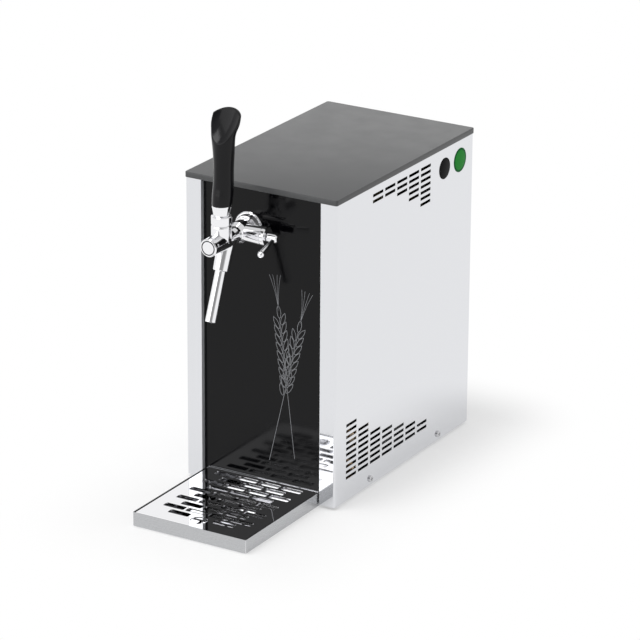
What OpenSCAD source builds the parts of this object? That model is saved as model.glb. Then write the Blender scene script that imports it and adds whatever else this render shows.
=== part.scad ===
// Beer tap cooler: a one-tap dry cooler with a compensator tap and a loose drip tray.
// Every piece is a module of its own. Millimetres, +Z up, the tap faces -Y.

/* [Cabinet] */
// Width over the side panels
cab_w = 177; // [173:1:184]
// Depth from the front flanges to the rear flanges
cab_d = 281; // [278:1:296]
// Height of the side panels
cab_h = 323.5; // [318:0.5:336]
// Sheet thickness of the casing
sheet_t = 1; // [0.8:0.1:1.2]
// Outer fold radius of the side panels
fold_r = 2; // [1.5:0.1:3]
// Width of the front flange on each side
flange_w = 18.3; // [17:0.1:19]
// Width of the rear flange on each side
rear_flange_w = 14; // [12:0.5:16]
// How far the front panel sits behind the front flanges
panel_recess = 5; // [4:0.5:6]
// Thickness of the front panel
panel_t = 3; // [2:0.5:4]
// How far the front panel laps behind each front flange
panel_lap = 10; // [6:0.5:12]
// Thickness of the plate behind the front panel
bulkhead_t = 1.5; // [1:0.1:2]
// Thickness of the base pan
base_t = 1.5; // [1:0.1:2]
// Height of the turned-up sides of the base pan
pan_lip = 14; // [12:0.5:16]
// Thickness of the lid
lid_t = 6; // [5:0.5:8]
// Overhang of the lid all round
lid_over = 0.75; // [0.5:0.25:2]
// Corner radius of the lid
lid_r = 2.5; // [1.5:0.5:4]
// Width of the rails under the lid
rail_w = 10; // [9:0.5:12]
// Height of the rails under the lid
rail_h = 5.5; // [4:0.5:6]
// Height of the rubber feet
foot_h = 3; // [2:0.5:6]
// Radius of the rubber feet
foot_r = 9; // [7:0.5:11]

/* [Vents] */
// Length of a vent slot
vent_len = 20.6; // [18:0.2:22]
// Height of a vent slot
vent_h = 3.2; // [2.4:0.1:4]
// Spacing of the slot columns
vent_col = 24.5; // [23:0.1:26]
// Spacing of the slot rows
vent_row = 6.37; // [5.5:0.01:6.6]
// Front end of the first slot column, from the front flanges
vent_start = 22.4; // [18:0.2:26]
// Middle of the lowest slot row, above the panel foot
vent_low = 25; // [22:0.5:28]
// Middle of the highest slot row, below the panel top
vent_top = 9.5; // [9:0.1:12]

/* [Tap fixing] */
// Sideways place of the tap from the middle of the front
tap_x = -16.4; // [-30:0.1:-8]
// Tap axis below the lid
tap_drop = 41.5; // [39:0.5:50]
// Radius of the threaded shank
shank_r = 8; // [7.5:0.1:8.4]
// Radius of the bore of the shank
shank_bore = 4.1; // [3.6:0.1:4.4]
// Reach of the shank behind the front panel
shank_in = 42; // [36:1:44]
// Radius of the rosette
rosette_r = 16.2; // [15.4:0.1:18]
// Height of the rosette on the front panel
rosette_t = 6.4; // [6:0.1:6.6]
// Radius of the coupling nut
coupling_r = 10.8; // [10.4:0.1:11.5]
// Length of the coupling nut
coupling_len = 5; // [4.8:0.1:5.2]
// Across flats of the shank nut
shank_nut_af = 27; // [24:0.5:30]

/* [Tap body] */
// Radius of the compensator body
comp_r = 11.2; // [10.8:0.1:12]
// Radius of the side barrel of the compensator at its outer end
barrel_r = 9.8; // [9.2:0.1:10]
// Reach of the side barrel from the tap axis, with its gland nut
barrel_len = 32; // [30:0.2:36]
// Radius of the neck of the tap body
neck_r = 7; // [6.8:0.1:7.6]
// Radius of the front barrel of the tap body under the lever
front_r = 10; // [9.4:0.1:10.2]
// Radius of the front barrel of the tap body at the cap
nose_r = 9.4; // [8.6:0.1:9.6]
// Distance from the front panel to the front face of the cap
tap_reach = 76.7; // [75.5:0.1:82]
// Distance from the front panel to the lever axis
lever_s = 51.7; // [51:0.1:53]
// Radius of the bonnet and the lever hub
bonnet_r = 10.4; // [10:0.1:10.6]
// Height of the lever pin above the tap axis
pin_z = 11; // [10.9:0.1:11.6]
// Height of the lever hub above the tap axis
hub_top = 27.2; // [26.4:0.1:28]
// Forward tilt of the spout
spout_tilt = 22; // [18:0.5:24]
// Length of the spout from the tap axis to its mouth
spout_len = 85.4; // [76:0.2:100]
// Outer radius of the spout tube
spout_r = 5.6; // [5.2:0.1:6]
// Wall of the spout tube
spout_wall = 1; // [0.8:0.1:1.2]
// Length of the spout boss and its collar from the tap axis
collar_len = 33.5; // [30:0.5:40]
// Radius of the spout collar
collar_r = 8.6; // [8:0.1:9]

/* [Handle] */
// Height of the ferrule under the handle
ferrule_h = 10.6; // [8:0.2:14]
// Length of the handle
handle_len = 99; // [90:1:115]
// Half width of the handle at its foot
handle_r = 10.2; // [9.6:0.1:11]
// Half width of the handle at its head
handle_head = 15.4; // [14.6:0.2:17]
// How far the head of the handle leans back
handle_lean = 9.6; // [7:0.2:11]
// Length of the compensator lever from its spindle to its ball
comp_lever_len = 28; // [25:0.2:36]
// Droop of the compensator lever below level at rest
comp_droop = 19; // [5:1:30]
// Radius of the ball on the compensator lever
comp_ball_r = 3.6; // [3.2:0.1:5]

/* [Drip tray] */
// Width of the tray
tray_w = 134; // [122:1:135]
// Depth of the tray
tray_d = 144; // [138:1:160]
// Height of the tray walls
tray_h = 14.5; // [12:0.5:22]
// Sheet thickness of the tray
tray_t = 1; // [0.8:0.1:1.4]
// Sideways place of the tray from the middle of the front
tray_shift = 2; // [0:0.1:2.2]
// Thickness of the pads under the tray
pad_h = 1.2; // [1:0.1:3]
// Thickness of the drip grille
grille_t = 1.2; // [1:0.1:1.6]
// Length of a grille slot
slot_len = 24; // [20:0.5:24.4]
// Width of a grille slot
slot_w = 8.2; // [6:0.2:9]
// Spacing of the grille slots along a row
slot_pitch = 26.4; // [26:0.1:28]
// Spacing of the grille rows
row_pitch = 12; // [11:0.1:12.2]
// Radius of the finger hole in the grille
finger_r = 9; // [7:0.5:9.5]

/* [Refrigeration] */
// Radius of the compressor shell
comp_shell_r = 52; // [44:1:54]
// Height of the compressor shell
comp_shell_h = 108; // [90:1:112]
// Height of the compressor grommets
grommet_h = 12; // [10:0.5:16]
// Space beside the condenser for its bends and pipes
cond_side = 23.5; // [22.5:0.5:30]
// Depth of the condenser
cond_d = 40; // [38:1:44]
// Height of the condenser
cond_h = 116; // [110:1:120]
// Radius of the condenser tubes
coil_r = 4; // [3.5:0.1:4.2]
// Radius of the fan blades
fan_r = 46; // [38:1:47]
// Number of fan blades
blade_n = 5; // [3:1:7]
// Width of the cooling block
block_w = 104; // [90:1:106]
// Depth of the cooling block
block_d = 136; // [120:1:138]
// Height of the cooling block
block_h = 104; // [90:1:106]
// Wall of the insulation
foam_t = 12; // [8:0.5:12.5]
// Radius of the beer pipes
beer_pipe_r = 4; // [3.4:0.1:4]

/* [Back] */
// Radius of the bore of the beer inlet fitting
beer_bore_r = 4.85; // [4:0.05:5.2]
// Radius of the bore of the air outlet fitting
air_bore_r = 4.1; // [3.1:0.1:5]
// Radius of the bore of the cable gland
gland_bore_r = 3.8; // [3:0.1:4.5]
// Radius of the thermostat knob
knob_r = 14; // [10:0.5:17]
// Height of the thermostat knob
knob_h = 14; // [10:0.5:18]
// Width of the switch rocker
rocker_w = 13; // [10:0.5:15]
// Height of the switch rocker
rocker_h = 19; // [16:0.5:22]

/* [Hidden] */
$fn = 96;
eps = 0.01;
fit = 0.05;
run = 0.15;
gap = 0.3;
screw_r = 2;
screw_head_r = 3.6;
screw_head_h = 2;

panel_y = panel_recess;
bulkhead_y = panel_y + panel_t;
room_y = bulkhead_y + bulkhead_t;
back_y = cab_d - 2 * sheet_t;
wall_x = cab_w / 2 - sheet_t;
floor_z = foot_h + base_t;
cab_top = foot_h + cab_h;
rail_z = cab_top - rail_h;
tap_z = cab_top - tap_drop;

side_screw_z = foot_h + pan_lip / 2;
side_screw_y = [cab_d * 0.257, cab_d * 0.765];
rear_screw_x = cab_w / 2 - rear_flange_w / 2;
rear_screw_z = [foot_h + 30, foot_h + cab_h / 2, cab_top - 30];
lid_screw_x = wall_x - rail_w / 2;
lid_screw_y = [room_y + 24, cab_d - 34];
lid_screw_deep = 4;

low_rows = [10, 8, 6, 5, 4, 3, 2];
high_rows = [0, 0, 2, 2, 3, 5, 7];

coupling_s = rosette_t + 0.2;
coupling_end = coupling_s + coupling_len;
shank_out = coupling_end - 3;
tail_r = 7.4;
tail_bore = 4;
chamber_r = 7;
chamber_s = coupling_end + 1.2;
chamber_end = 22;
seat_r = 5.6;
seat_s = 27.5;
spigot_r = 5.9;
spigot_bore = 3.6;
comp_front_r = 8.2;
comp_end = 30;
barrel_s = 16.5;
barrel_flare = 1.4;
cone_len = 4.6;
cone_r = [6, 6.6];
crank = 1.2;
crank_pin_r = 1.2;
spindle_r = 3;
gland_len = 5;

neck_end = 41;
front_s = 45;
cap_head = 2.7;
cap_s = tap_reach - cap_head;
cap_thread_r = 7;
cap_thread_s = cap_s - 6;
bore_r = 5;
bore_s = 38;
cap_guide = 5.2;

dome_r = 11.5;
socket_r = dome_r + gap;
lever_tilt = 30;
ball_z = 3;
lever_ball_r = 3;
arm = pin_z - ball_z;
plunger_stroke = arm * sin(lever_tilt);
stem_r = 3;
stem_neck_r = 2.2;
stem_boss_r = 3.6;
stem_half = 3.4;
slot_half = stem_half + gap;
lever_pin_r = 1.6;
stud_r = 4;
stud_deep = 16;
plunger_r = bore_r - run;
rod_r = 2.5;
slider_s = 46.5;
slider_end = 64;
seal_r = 5.2;
seal_t = 2;
spout_s = 40.7;
boss_r = 9.2;
boss_len = 16;

ferrule_z = tap_z + hub_top;
handle_z = ferrule_z + ferrule_h;
lever_y = panel_y - lever_s;

tray_back = panel_recess;
tray_x = min(tray_shift, cab_w / 2 - flange_w - tray_w / 2 - 0.5);
tray_front = tray_back - tray_d;
tray_z = pad_h;
tray_top = tray_z + tray_h;
grille_side = 1;
ledge_w = 4;
grille_top = tray_top - 0.8;
row_n = 10;
row_first = 24.4;
finger_in = 18.9;
slot_r = 1.5;

cond_w = 2 * (wall_x - cond_side);
cond_x = cond_w / 2;
fin_pitch = 6;
fin_t = 0.8;
end_t = 1.5;
tube_rows = 6;
tube_edge = 13;
tube_out = 5;
shroud_t = 1.5;
ring_t = 1.5;
ring_len = 16;
ring_r = fan_r + 3;
fan_gap = 2;
blade_len = 12;
hub_r = 13;
axle_r = 2.5;
motor_gap = 3;
motor_r = 20;
motor_len = 28;
bracket_t = 1.5;
bracket_w = 14;
stub_r = 5;
stub_out = 8;
suction_bend = 8;

fan_stack = shroud_t + fan_gap + blade_len + motor_gap + bracket_t + motor_len;
least_front = 2;
least_comp = 4;
least_rear = 22;
spare_depth = back_y - room_y - cond_d - fan_stack - 2 * comp_shell_r - stub_out
  - least_front - least_comp - least_rear;

function half(x) = round(2 * x) / 2;
cond_y = room_y + least_front + half(0.193 * spare_depth);
cond_z = floor_z;
tube_pitch_z = (cond_h - 2 * tube_edge) / (tube_rows - 1);
tube_pitch_y = cond_d / 2;
tube_y = cond_y + cond_d / 4;
tube_z = cond_z + tube_edge;
coil_end = -cond_x - tube_out;
coil_top = tube_z + (tube_rows - 1) * tube_pitch_z;
shroud_y = cond_y + cond_d;
fan_z = cond_z + cond_h / 2;
fan_y = shroud_y + shroud_t + fan_gap;
motor_y = fan_y + blade_len + motor_gap;

comp_y = shroud_y + fan_stack + least_comp + half(0.193 * spare_depth) + comp_shell_r;
comp_foot_t = 3;
comp_z = floor_z + grommet_h + comp_foot_t;
comp_top = comp_z + comp_shell_h;
shell_round = 22;
grommet_r = 10;
grommet_x = 44;
grommet_y = 60;
foot_plate = 60;
port_half = 16;
pipe_z = comp_z + comp_shell_h * 0.72;
discharge_z = comp_z + comp_shell_h * 0.43;
terminal_x = comp_shell_r + 1;
terminal_box = [16, 48, 40];
seam_z = comp_shell_h * 0.55;
seam_t = 4;
stub_end = comp_y + comp_shell_r + stub_out;

shelf_t = 1.5;
shelf_z = max(comp_top + 9, cond_z + cond_h + 16);
shelf_end = back_y - 8;
shelf_leg = 46;

pump_room = 59.5;
foam_end = back_y - pump_room;
block_y = foam_end - foam_t - block_d;
block_z = shelf_z + shelf_t + foam_t;
block_top = block_z + block_h;
hole_deep = 20;
seat_deep = hole_deep - 1;

out_bend = 9;
out_y = block_y + 8;
inlet_in = 7;
inlet_x = inlet_in - block_w / 2;
inlet_z = block_z + block_h * 0.72;
suction_z = block_z + 14;
pipe_r = 3;
pipe_wall = 0.8;
side_bend = 6;
drop_y = stub_end + suction_bend + half(0.1325 * spare_depth);
side_pipe = 7;
drier_r = 8;
drier_x = drier_r + 1.5 - wall_x;
drier_from = 52;
drier_len = 52;
drier_y = [shroud_y + drier_from, shroud_y + drier_from + drier_len];
drier_z = coil_top - 17;
riser_y = shroud_y + 16;
cap_r = 1.2;
cap_x = -30;
cap_z = block_z + 34;
cap_y = back_y - 24;
pump_x = [24, wall_x - 6];
pump_y = [foam_end + 8, back_y - 10];
pump_h = 62;
pump_top = shelf_z + shelf_t + pump_h;
air_x = wall_x - 35.5;
air_z = pump_top + 34;
air_hose_r = 4;

fitting_flange_r = 11;
fitting_flange_t = 5;
fitting_out = 13;
fitting_in = 14;
fitting_body_r = 8.5;
gland_x = wall_x - 29.5;
gland_z = floor_z + 32;
gland_r = 11;
gland_body_r = 7.5;
gland_out = 10;
gland_in = 8;
thermo_z = cab_top - 36;
thermo_box = [32, 24, 34];
thermo_shaft_r = 3;
switch_x = 33.5 - wall_x;
switch_z = cab_top - 38;
switch_frame = 3;
switch_out = 2;
switch_deep = 22;
rocker_pivot = 4;
rocker_rock = 9;

rear_most = max(cab_d - sheet_t + knob_h + 1, cab_d + fitting_out);
mid_y = (tray_front + rear_most) / 2;

// Helpers

// Moves a piece from the cabinet frame to the shared frame.
module placed() {
  translate([0, -mid_y, 0]) children();
}

// A box given by its low and high corners.
module span(low, high) {
  translate(low) cube(high - low);
}

// A flat plate outline with rounded corners.
module round_rect(w, d, r) {
  square([w - 2 * r, d], center = true);
  square([w, d - 2 * r], center = true);
  for (x = [-1, 1], y = [-1, 1])
    translate([x * (w / 2 - r), y * (d / 2 - r)]) circle(r);
}

// Stands children up on the tap axis: their +Z runs forward from the front panel.
module on_tap() {
  translate([tap_x, panel_y, tap_z]) rotate([90, 0, 0]) children();
}

// A piece turned about the tap axis from radius and distance pairs.
module turned(profile) {
  on_tap() rotate_extrude() polygon(profile);
}

// A round bore along the tap axis.
module tap_bore(r, from, to) {
  on_tap() translate([0, 0, from]) cylinder(r = r, h = to - from);
}

// Puts children on the spout axis: their +Z runs down the spout.
module on_spout() {
  translate([tap_x, panel_y - spout_s, tap_z]) rotate([180 - spout_tilt, 0, 0]) children();
}

// A round bar along X at the compensator spindle, measured from the tap axis.
module cross_bar(r, from, to) {
  translate([tap_x + from, panel_y - barrel_s, tap_z]) rotate([0, 90, 0]) cylinder(r = r, h = to - from);
}

// A cylinder along +Y between two depths.
module y_bar(x, z, r, from, to) {
  translate([x, from, z]) rotate([-90, 0, 0]) cylinder(r = r, h = to - from);
}

// A straight round bar between two points.
module rod(a, b, r) {
  v = b - a;
  translate(a) rotate([0, acos(v[2] / norm(v)), atan2(v[1], v[0])]) cylinder(r = r, h = norm(v));
}

// A square bend in a pipe, from direction d0 into d1 at corner p.
module elbow(p, d0, d1, bend, r) {
  c = p - d0 * bend + d1 * bend;
  n = cross(-d1, d0);
  multmatrix([[-d1[0], d0[0], n[0], c[0]], [-d1[1], d0[1], n[1], c[1]], [-d1[2], d0[2], n[2], c[2]]])
    rotate_extrude(angle = 90) translate([bend, 0]) circle(r);
}

function way(points, i) = (points[i + 1] - points[i]) / norm(points[i + 1] - points[i]);

// A solid round line along square-cornered points.
module line(points, r, bend) {
  last = len(points) - 2;
  for (i = [0 : last]) {
    a = points[i] + (i == 0 ? 0 : bend) * way(points, i);
    b = points[i + 1] - (i == last ? 0 : bend) * way(points, i);
    rod(a, b, r);
  }
  if (last > 0)
    for (i = [1 : last]) elbow(points[i], way(points, i - 1), way(points, i), bend, r);
}

// A pipe with a bore.
module pipe(points, r, bend, wall) {
  difference() {
    line(points, r, bend);
    line(points, r - wall, bend);
  }
}

// A pan-head screw along +Z, its head seated at z = 0 and reaching to -Z.
module screw(len) {
  translate([0, 0, -screw_head_h]) rotate_extrude()
    polygon([[0, 0], [screw_head_r - 0.8, 0], [screw_head_r, 0.8], [screw_head_r, screw_head_h],
      [screw_r, screw_head_h], [screw_r, screw_head_h + len], [0, screw_head_h + len]]);
}

// Smooth skin through a stack of rings.
module loft(rings) {
  n = len(rings[0]);
  m = len(rings);
  points = [for (ring = rings) each ring];
  sides = [for (i = [0 : m - 2], j = [0 : n - 1]) let (k = (j + 1) % n)
    each [[i * n + j, (i + 1) * n + j, i * n + k], [i * n + k, (i + 1) * n + j, (i + 1) * n + k]]];
  polyhedron(points, concat([[for (j = [0 : n - 1]) j]], sides,
    [[for (j = [n - 1 : -1 : 0]) (m - 1) * n + j]]));
}

// Casing

// Plan of the right-hand side panel: front return, front flange, side, rear flange.
module side_plan() {
  x = cab_w / 2;
  inner = fold_r - sheet_t;
  translate([x - sheet_t, fold_r]) square([sheet_t, cab_d - 2 * fold_r]);
  translate([x - flange_w, 0]) square([flange_w - fold_r, sheet_t]);
  translate([x - flange_w, 0]) square([sheet_t, panel_recess]);
  translate([x - rear_flange_w, cab_d - sheet_t]) square([rear_flange_w - fold_r, sheet_t]);
  intersection() {
    translate([x - fold_r, fold_r]) difference() {
      circle(fold_r);
      circle(inner);
    }
    translate([x - fold_r, 0]) square(fold_r);
  }
  intersection() {
    translate([x - fold_r, cab_d - fold_r]) difference() {
      circle(fold_r);
      circle(inner);
    }
    translate([x - fold_r, cab_d - fold_r]) square(fold_r);
  }
}

// One vent slot through a side panel.
module vent_slot(col, z) {
  translate([cab_w / 2 - 2 * sheet_t, vent_start + col * vent_col, z - vent_h / 2])
    cube([3 * sheet_t, vent_len, vent_h]);
}

// The right-hand side panel.
module side_panel() {
  difference() {
    translate([0, 0, foot_h]) linear_extrude(cab_h) side_plan();
    for (c = [0 : len(low_rows) - 1], r = [0 : low_rows[c] - 1])
      vent_slot(c, foot_h + vent_low + r * vent_row);
    for (c = [0 : len(high_rows) - 1])
      if (high_rows[c] > 0)
        for (r = [0 : high_rows[c] - 1]) vent_slot(c, cab_top - vent_top - r * vent_row);
    for (y = side_screw_y)
      translate([cab_w / 2 - 2 * sheet_t, y, side_screw_z]) rotate([0, 90, 0])
        cylinder(r = screw_r + fit, h = 3 * sheet_t);
    for (z = rear_screw_z) y_bar(rear_screw_x, z, screw_r + fit, back_y, cab_d + sheet_t);
  }
}

module right_side_panel() {
  color("gainsboro") placed() side_panel();
}

module left_side_panel() {
  color("gainsboro") placed() mirror([1, 0, 0]) side_panel();
}

module base_pan() {
  side = wall_x - fit;
  front = panel_recess + panel_t;
  color("dimgray") placed() {
    difference() {
      union() {
        span([-side, front, foot_h], [side, back_y - fit, floor_z]);
        for (m = [0, 1]) mirror([m, 0, 0])
          span([side - base_t, front + bulkhead_t + gap, foot_h], [side, back_y - fit, foot_h + pan_lip]);
      }
      for (x = [-1, 1], y = side_screw_y)
        translate([x * wall_x, y, side_screw_z]) rotate([0, 90, 0])
          cylinder(r = screw_r + fit, h = 4 * base_t, center = true);
    }
    for (x = [-1, 1], y = [-1, 1])
      translate([x * grommet_x, comp_y + y * grommet_y, floor_z])
        cylinder(r = screw_r + 1, h = grommet_h + comp_foot_t + 5);
  }
}

module back_panel() {
  side = wall_x - fold_r + sheet_t - fit;
  color("silver") placed() difference() {
    span([-side, back_y, foot_h], [side, back_y + sheet_t, cab_top]);
    for (x = [-1, 1], z = rear_screw_z) y_bar(x * rear_screw_x, z, screw_r + fit, back_y - 1, cab_d);
    for (c = [-1.5 : 1 : 1.5], r = [0 : 9])
      translate([c * vent_col - vent_len / 2 - 14, back_y - sheet_t, floor_z + 40 + r * vent_row])
        cube([vent_len, 3 * sheet_t, vent_h]);
    y_bar(inlet_x, inlet_z, fitting_body_r + fit, back_y - 1, cab_d);
    y_bar(air_x, air_z, fitting_body_r + fit, back_y - 1, cab_d);
    y_bar(gland_x, gland_z, gland_body_r + fit, back_y - 1, cab_d);
    y_bar(0, thermo_z, thermo_shaft_r + 1, back_y - 1, cab_d);
    span([switch_x - rocker_w / 2 - 1 - fit, back_y - 1, switch_z - rocker_h / 2 - 1 - fit],
      [switch_x + rocker_w / 2 + 1 + fit, cab_d, switch_z + rocker_h / 2 + 1 + fit]);
  }
}

module front_panel() {
  half = cab_w / 2 - flange_w + panel_lap;
  color("#26272a") placed() difference() {
    span([-half, panel_y, foot_h], [half, panel_y + panel_t, cab_top]);
    tap_bore(shank_r + fit, -2 * panel_t, panel_t);
  }
}

module front_bulkhead() {
  side = wall_x - fit;
  color("silver") placed() difference() {
    span([-side, bulkhead_y, floor_z], [side, room_y, cab_top]);
    tap_bore(shank_r + fit, -2 * (panel_t + bulkhead_t), panel_t);
  }
}

module lid_rails() {
  color("dimgray") placed() for (m = [0, 1]) mirror([m, 0, 0]) difference() {
    span([wall_x - rail_w, room_y, rail_z], [wall_x, back_y, cab_top]);
    for (y = lid_screw_y)
      translate([lid_screw_x, y, rail_z - 1]) cylinder(r = screw_r + fit, h = rail_h + 2);
  }
}

module lid() {
  color("#2a2a2c") placed() difference() {
    translate([0, cab_d / 2, cab_top]) linear_extrude(lid_t)
      round_rect(cab_w + 2 * lid_over, cab_d + 2 * lid_over, lid_r);
    for (x = [-1, 1], y = lid_screw_y)
      translate([x * lid_screw_x, y, cab_top - 1]) cylinder(r = screw_r + fit, h = lid_screw_deep + 1);
  }
}

module rubber_feet() {
  x = wall_x - foot_r - 6;
  color("#1c1c1c") placed() for (i = [-1, 1], y = [room_y + foot_r + 8, back_y - foot_r - 8])
    translate([i * x, y, 0]) rotate_extrude()
      polygon([[0, 0], [foot_r - 1, 0], [foot_r, 1], [foot_r, foot_h], [0, foot_h]]);
}

module casing_screws() {
  color("lightgray") placed() {
    for (m = [0, 1], y = side_screw_y) mirror([m, 0, 0])
      translate([cab_w / 2, y, side_screw_z]) rotate([0, -90, 0]) screw(sheet_t + base_t + 3);
    for (x = [-1, 1], z = rear_screw_z)
      translate([x * rear_screw_x, cab_d, z]) rotate([90, 0, 0]) screw(2 * sheet_t + 4);
    for (x = [-1, 1], y = lid_screw_y)
      translate([x * lid_screw_x, y, rail_z]) screw(rail_h + lid_screw_deep - gap);
  }
}

// Tap, fixed pieces

module tap_rosette() {
  hole = shank_r + fit;
  rim = 1.4;
  wall_foot = rosette_r - 1.6;
  wall_head = wall_foot - 1.2;
  color("gainsboro") placed() turned([[hole, 0], [rosette_r, 0], [rosette_r, rim - 0.6],
    [rosette_r - 0.6, rim], [wall_foot, rim], [wall_head, rosette_t - 1.2],
    [wall_head - 0.4, rosette_t - 0.4], [wall_head - 1.2, rosette_t], [hole, rosette_t]]);
}

module tap_shank() {
  color("gainsboro") placed() turned([[shank_bore, -shank_in], [shank_r - 1, -shank_in],
    [shank_r, 1 - shank_in], [shank_r, shank_out], [shank_bore, shank_out]]);
}

module shank_nut() {
  thick = 7;
  from = -panel_t - bulkhead_t - thick;
  color("silver") placed() difference() {
    on_tap() translate([0, 0, from]) cylinder(r = shank_nut_af / sqrt(3), h = thick, $fn = 6);
    tap_bore(shank_r + fit, from - 1, from + thick + 1);
  }
}

module coupling_nut() {
  bevel = 0.8;
  notch = 3;
  color("gainsboro") placed() difference() {
    turned([[shank_r + fit, coupling_s], [coupling_r - bevel, coupling_s], [coupling_r, coupling_s + bevel],
      [coupling_r, coupling_end - bevel], [coupling_r - bevel, coupling_end], [tail_r + fit, coupling_end],
      [tail_r + fit, shank_out], [shank_r + fit, shank_out]]);
    on_tap() for (a = [45 : 90 : 315]) rotate(a)
      translate([coupling_r - 1.4, -notch / 2, coupling_s + 2]) cube([3, notch, coupling_len]);
  }
}

module compensator_body() {
  bevel = 0.8;
  gland_x0 = barrel_len - gland_len;
  color("gainsboro") placed() difference() {
    union() {
      turned([[0, shank_out], [tail_r, shank_out], [tail_r, coupling_end], [comp_r - bevel, coupling_end],
        [comp_r, coupling_end + bevel], [comp_r, chamber_end - 0.5], [comp_front_r, chamber_end + 4.5],
        [comp_front_r, comp_end], [0, comp_end]]);
      difference() {
        translate([tap_x, panel_y - barrel_s, tap_z]) rotate([0, 90, 0])
          cylinder(r1 = barrel_r - barrel_flare, r2 = barrel_r, h = gland_x0);
        tap_bore(coupling_r + gap, 0, coupling_end);
      }
    }
    tap_bore(tail_bore, shank_out - 1, chamber_s + 1);
    tap_bore(chamber_r, chamber_s, chamber_end);
    tap_bore(seat_r, chamber_end - 1, seat_s);
    tap_bore(spigot_r + fit, seat_s, comp_end + 1);
    cross_bar(spindle_r + fit, 0, gland_x0 + 1);
  }
}

module gland_nut() {
  bevel = 0.7;
  groove = 0.8;
  hole = spindle_r + fit;
  color("gainsboro") placed() translate([tap_x + barrel_len - gland_len, panel_y - barrel_s, tap_z])
    rotate([0, 90, 0]) rotate_extrude()
      polygon([[hole, 0], [barrel_r - groove, 0], [barrel_r - groove, groove], [barrel_r, groove],
        [barrel_r, gland_len - bevel], [barrel_r - bevel, gland_len], [hole, gland_len]]);
}

// Room for the lever to swing: side view cut through the bonnet, then the ball pocket.
module lever_room() {
  high = 14;
  lean = tan(lever_tilt);
  clear = 4.2;
  pocket = [arm * sin(lever_tilt) + lever_ball_r + 0.6, lever_ball_r + 0.6];
  translate([tap_x, lever_y, tap_z + pin_z]) {
    rotate([90, 0, 90]) translate([0, 0, -slot_half]) linear_extrude(2 * slot_half)
      polygon([[-clear, -1], [clear - gap, -1], [clear - gap, high], [-high * lean - clear, high]]);
    rotate([0, 90, 0]) cylinder(r = stem_boss_r + gap, h = 2 * slot_half, center = true);
    span([-slot_half, -pocket[1], -pin_z], [slot_half, pocket[0], -1]);
  }
}

module tap_body() {
  bevel = 0.8;
  flange_r = comp_front_r;
  vent_r = 1.3;
  vent_deep = 1.4;
  vent_rise = 3.2;
  color("gainsboro") placed() difference() {
    union() {
      turned([[0, seat_s], [spigot_r, seat_s], [spigot_r, comp_end], [flange_r, comp_end],
        [neck_r, comp_end + 5], [neck_r, neck_end], [front_r, front_s],
        [front_r, lever_s + 6], [nose_r, cap_s], [0, cap_s]]);
      intersection() {
        translate([tap_x, lever_y, tap_z]) cylinder(r = bonnet_r, h = pin_z + dome_r + 1);
        translate([tap_x, lever_y, tap_z + pin_z]) sphere(dome_r);
      }
      translate([tap_x, lever_y, tap_z]) cylinder(r = bonnet_r, h = pin_z);
      difference() {
        on_spout() cylinder(r1 = front_r - 0.4, r2 = boss_r - 0.6, h = boss_len);
        tap_bore(comp_r, 0, comp_end);
      }
    }
    tap_bore(spigot_bore, seat_s - 1, bore_s + 1);
    tap_bore(bore_r, bore_s, cap_thread_s + eps);
    tap_bore(cap_thread_r + fit, cap_thread_s, cap_s + 1);
    lever_room();
    translate([tap_x, lever_y, tap_z + pin_z]) rotate([0, 90, 0])
      cylinder(r = lever_pin_r, h = 3 * bonnet_r, center = true);
    on_spout() cylinder(r = spout_r - spout_wall, h = boss_len + 1);
    translate([tap_x + nose_r - vent_deep, panel_y - cap_s + 2.6, tap_z + vent_rise]) rotate([0, 90, 0])
      cylinder(r = vent_r, h = 2 * vent_deep);
  }
}

module lever_pin() {
  half = sqrt(bonnet_r * bonnet_r - lever_pin_r * lever_pin_r) - 0.2;
  color("silver") placed() translate([tap_x, lever_y, tap_z + pin_z]) rotate([0, 90, 0])
    cylinder(r = lever_pin_r, h = 2 * half, center = true);
}

module front_cap() {
  bevel = 1;
  groove = 1;
  groove_deep = 0.8;
  ring = nose_r * 0.7;
  head_r = nose_r;
  color("gainsboro") placed() difference() {
    turned([[0, cap_thread_s], [cap_thread_r, cap_thread_s], [cap_thread_r, cap_s], [head_r, cap_s],
      [head_r, tap_reach - bevel], [head_r - bevel, tap_reach], [ring + groove, tap_reach],
      [ring + groove, tap_reach - groove_deep], [ring, tap_reach - groove_deep], [ring, tap_reach],
      [0, tap_reach]]);
    tap_bore(rod_r + run, cap_thread_s - 1, cap_thread_s + cap_guide);
  }
}

module spout_collar() {
  bevel = 0.8;
  color("gainsboro") placed() on_spout() rotate_extrude()
    polygon([[spout_r + fit, boss_len], [boss_r - 0.6, boss_len], [collar_r, boss_len + 2],
      [collar_r - 0.5, collar_len - bevel], [collar_r - 0.5 - bevel, collar_len],
      [spout_r + fit, collar_len]]);
}

module spout() {
  inner = spout_r - spout_wall;
  color("gainsboro") placed() on_spout() rotate_extrude()
    polygon([[inner, boss_len], [spout_r, boss_len], [spout_r, spout_len - 0.3], [spout_r - 0.3, spout_len],
      [inner, spout_len]]);
}

// Tap, moving pieces

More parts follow.
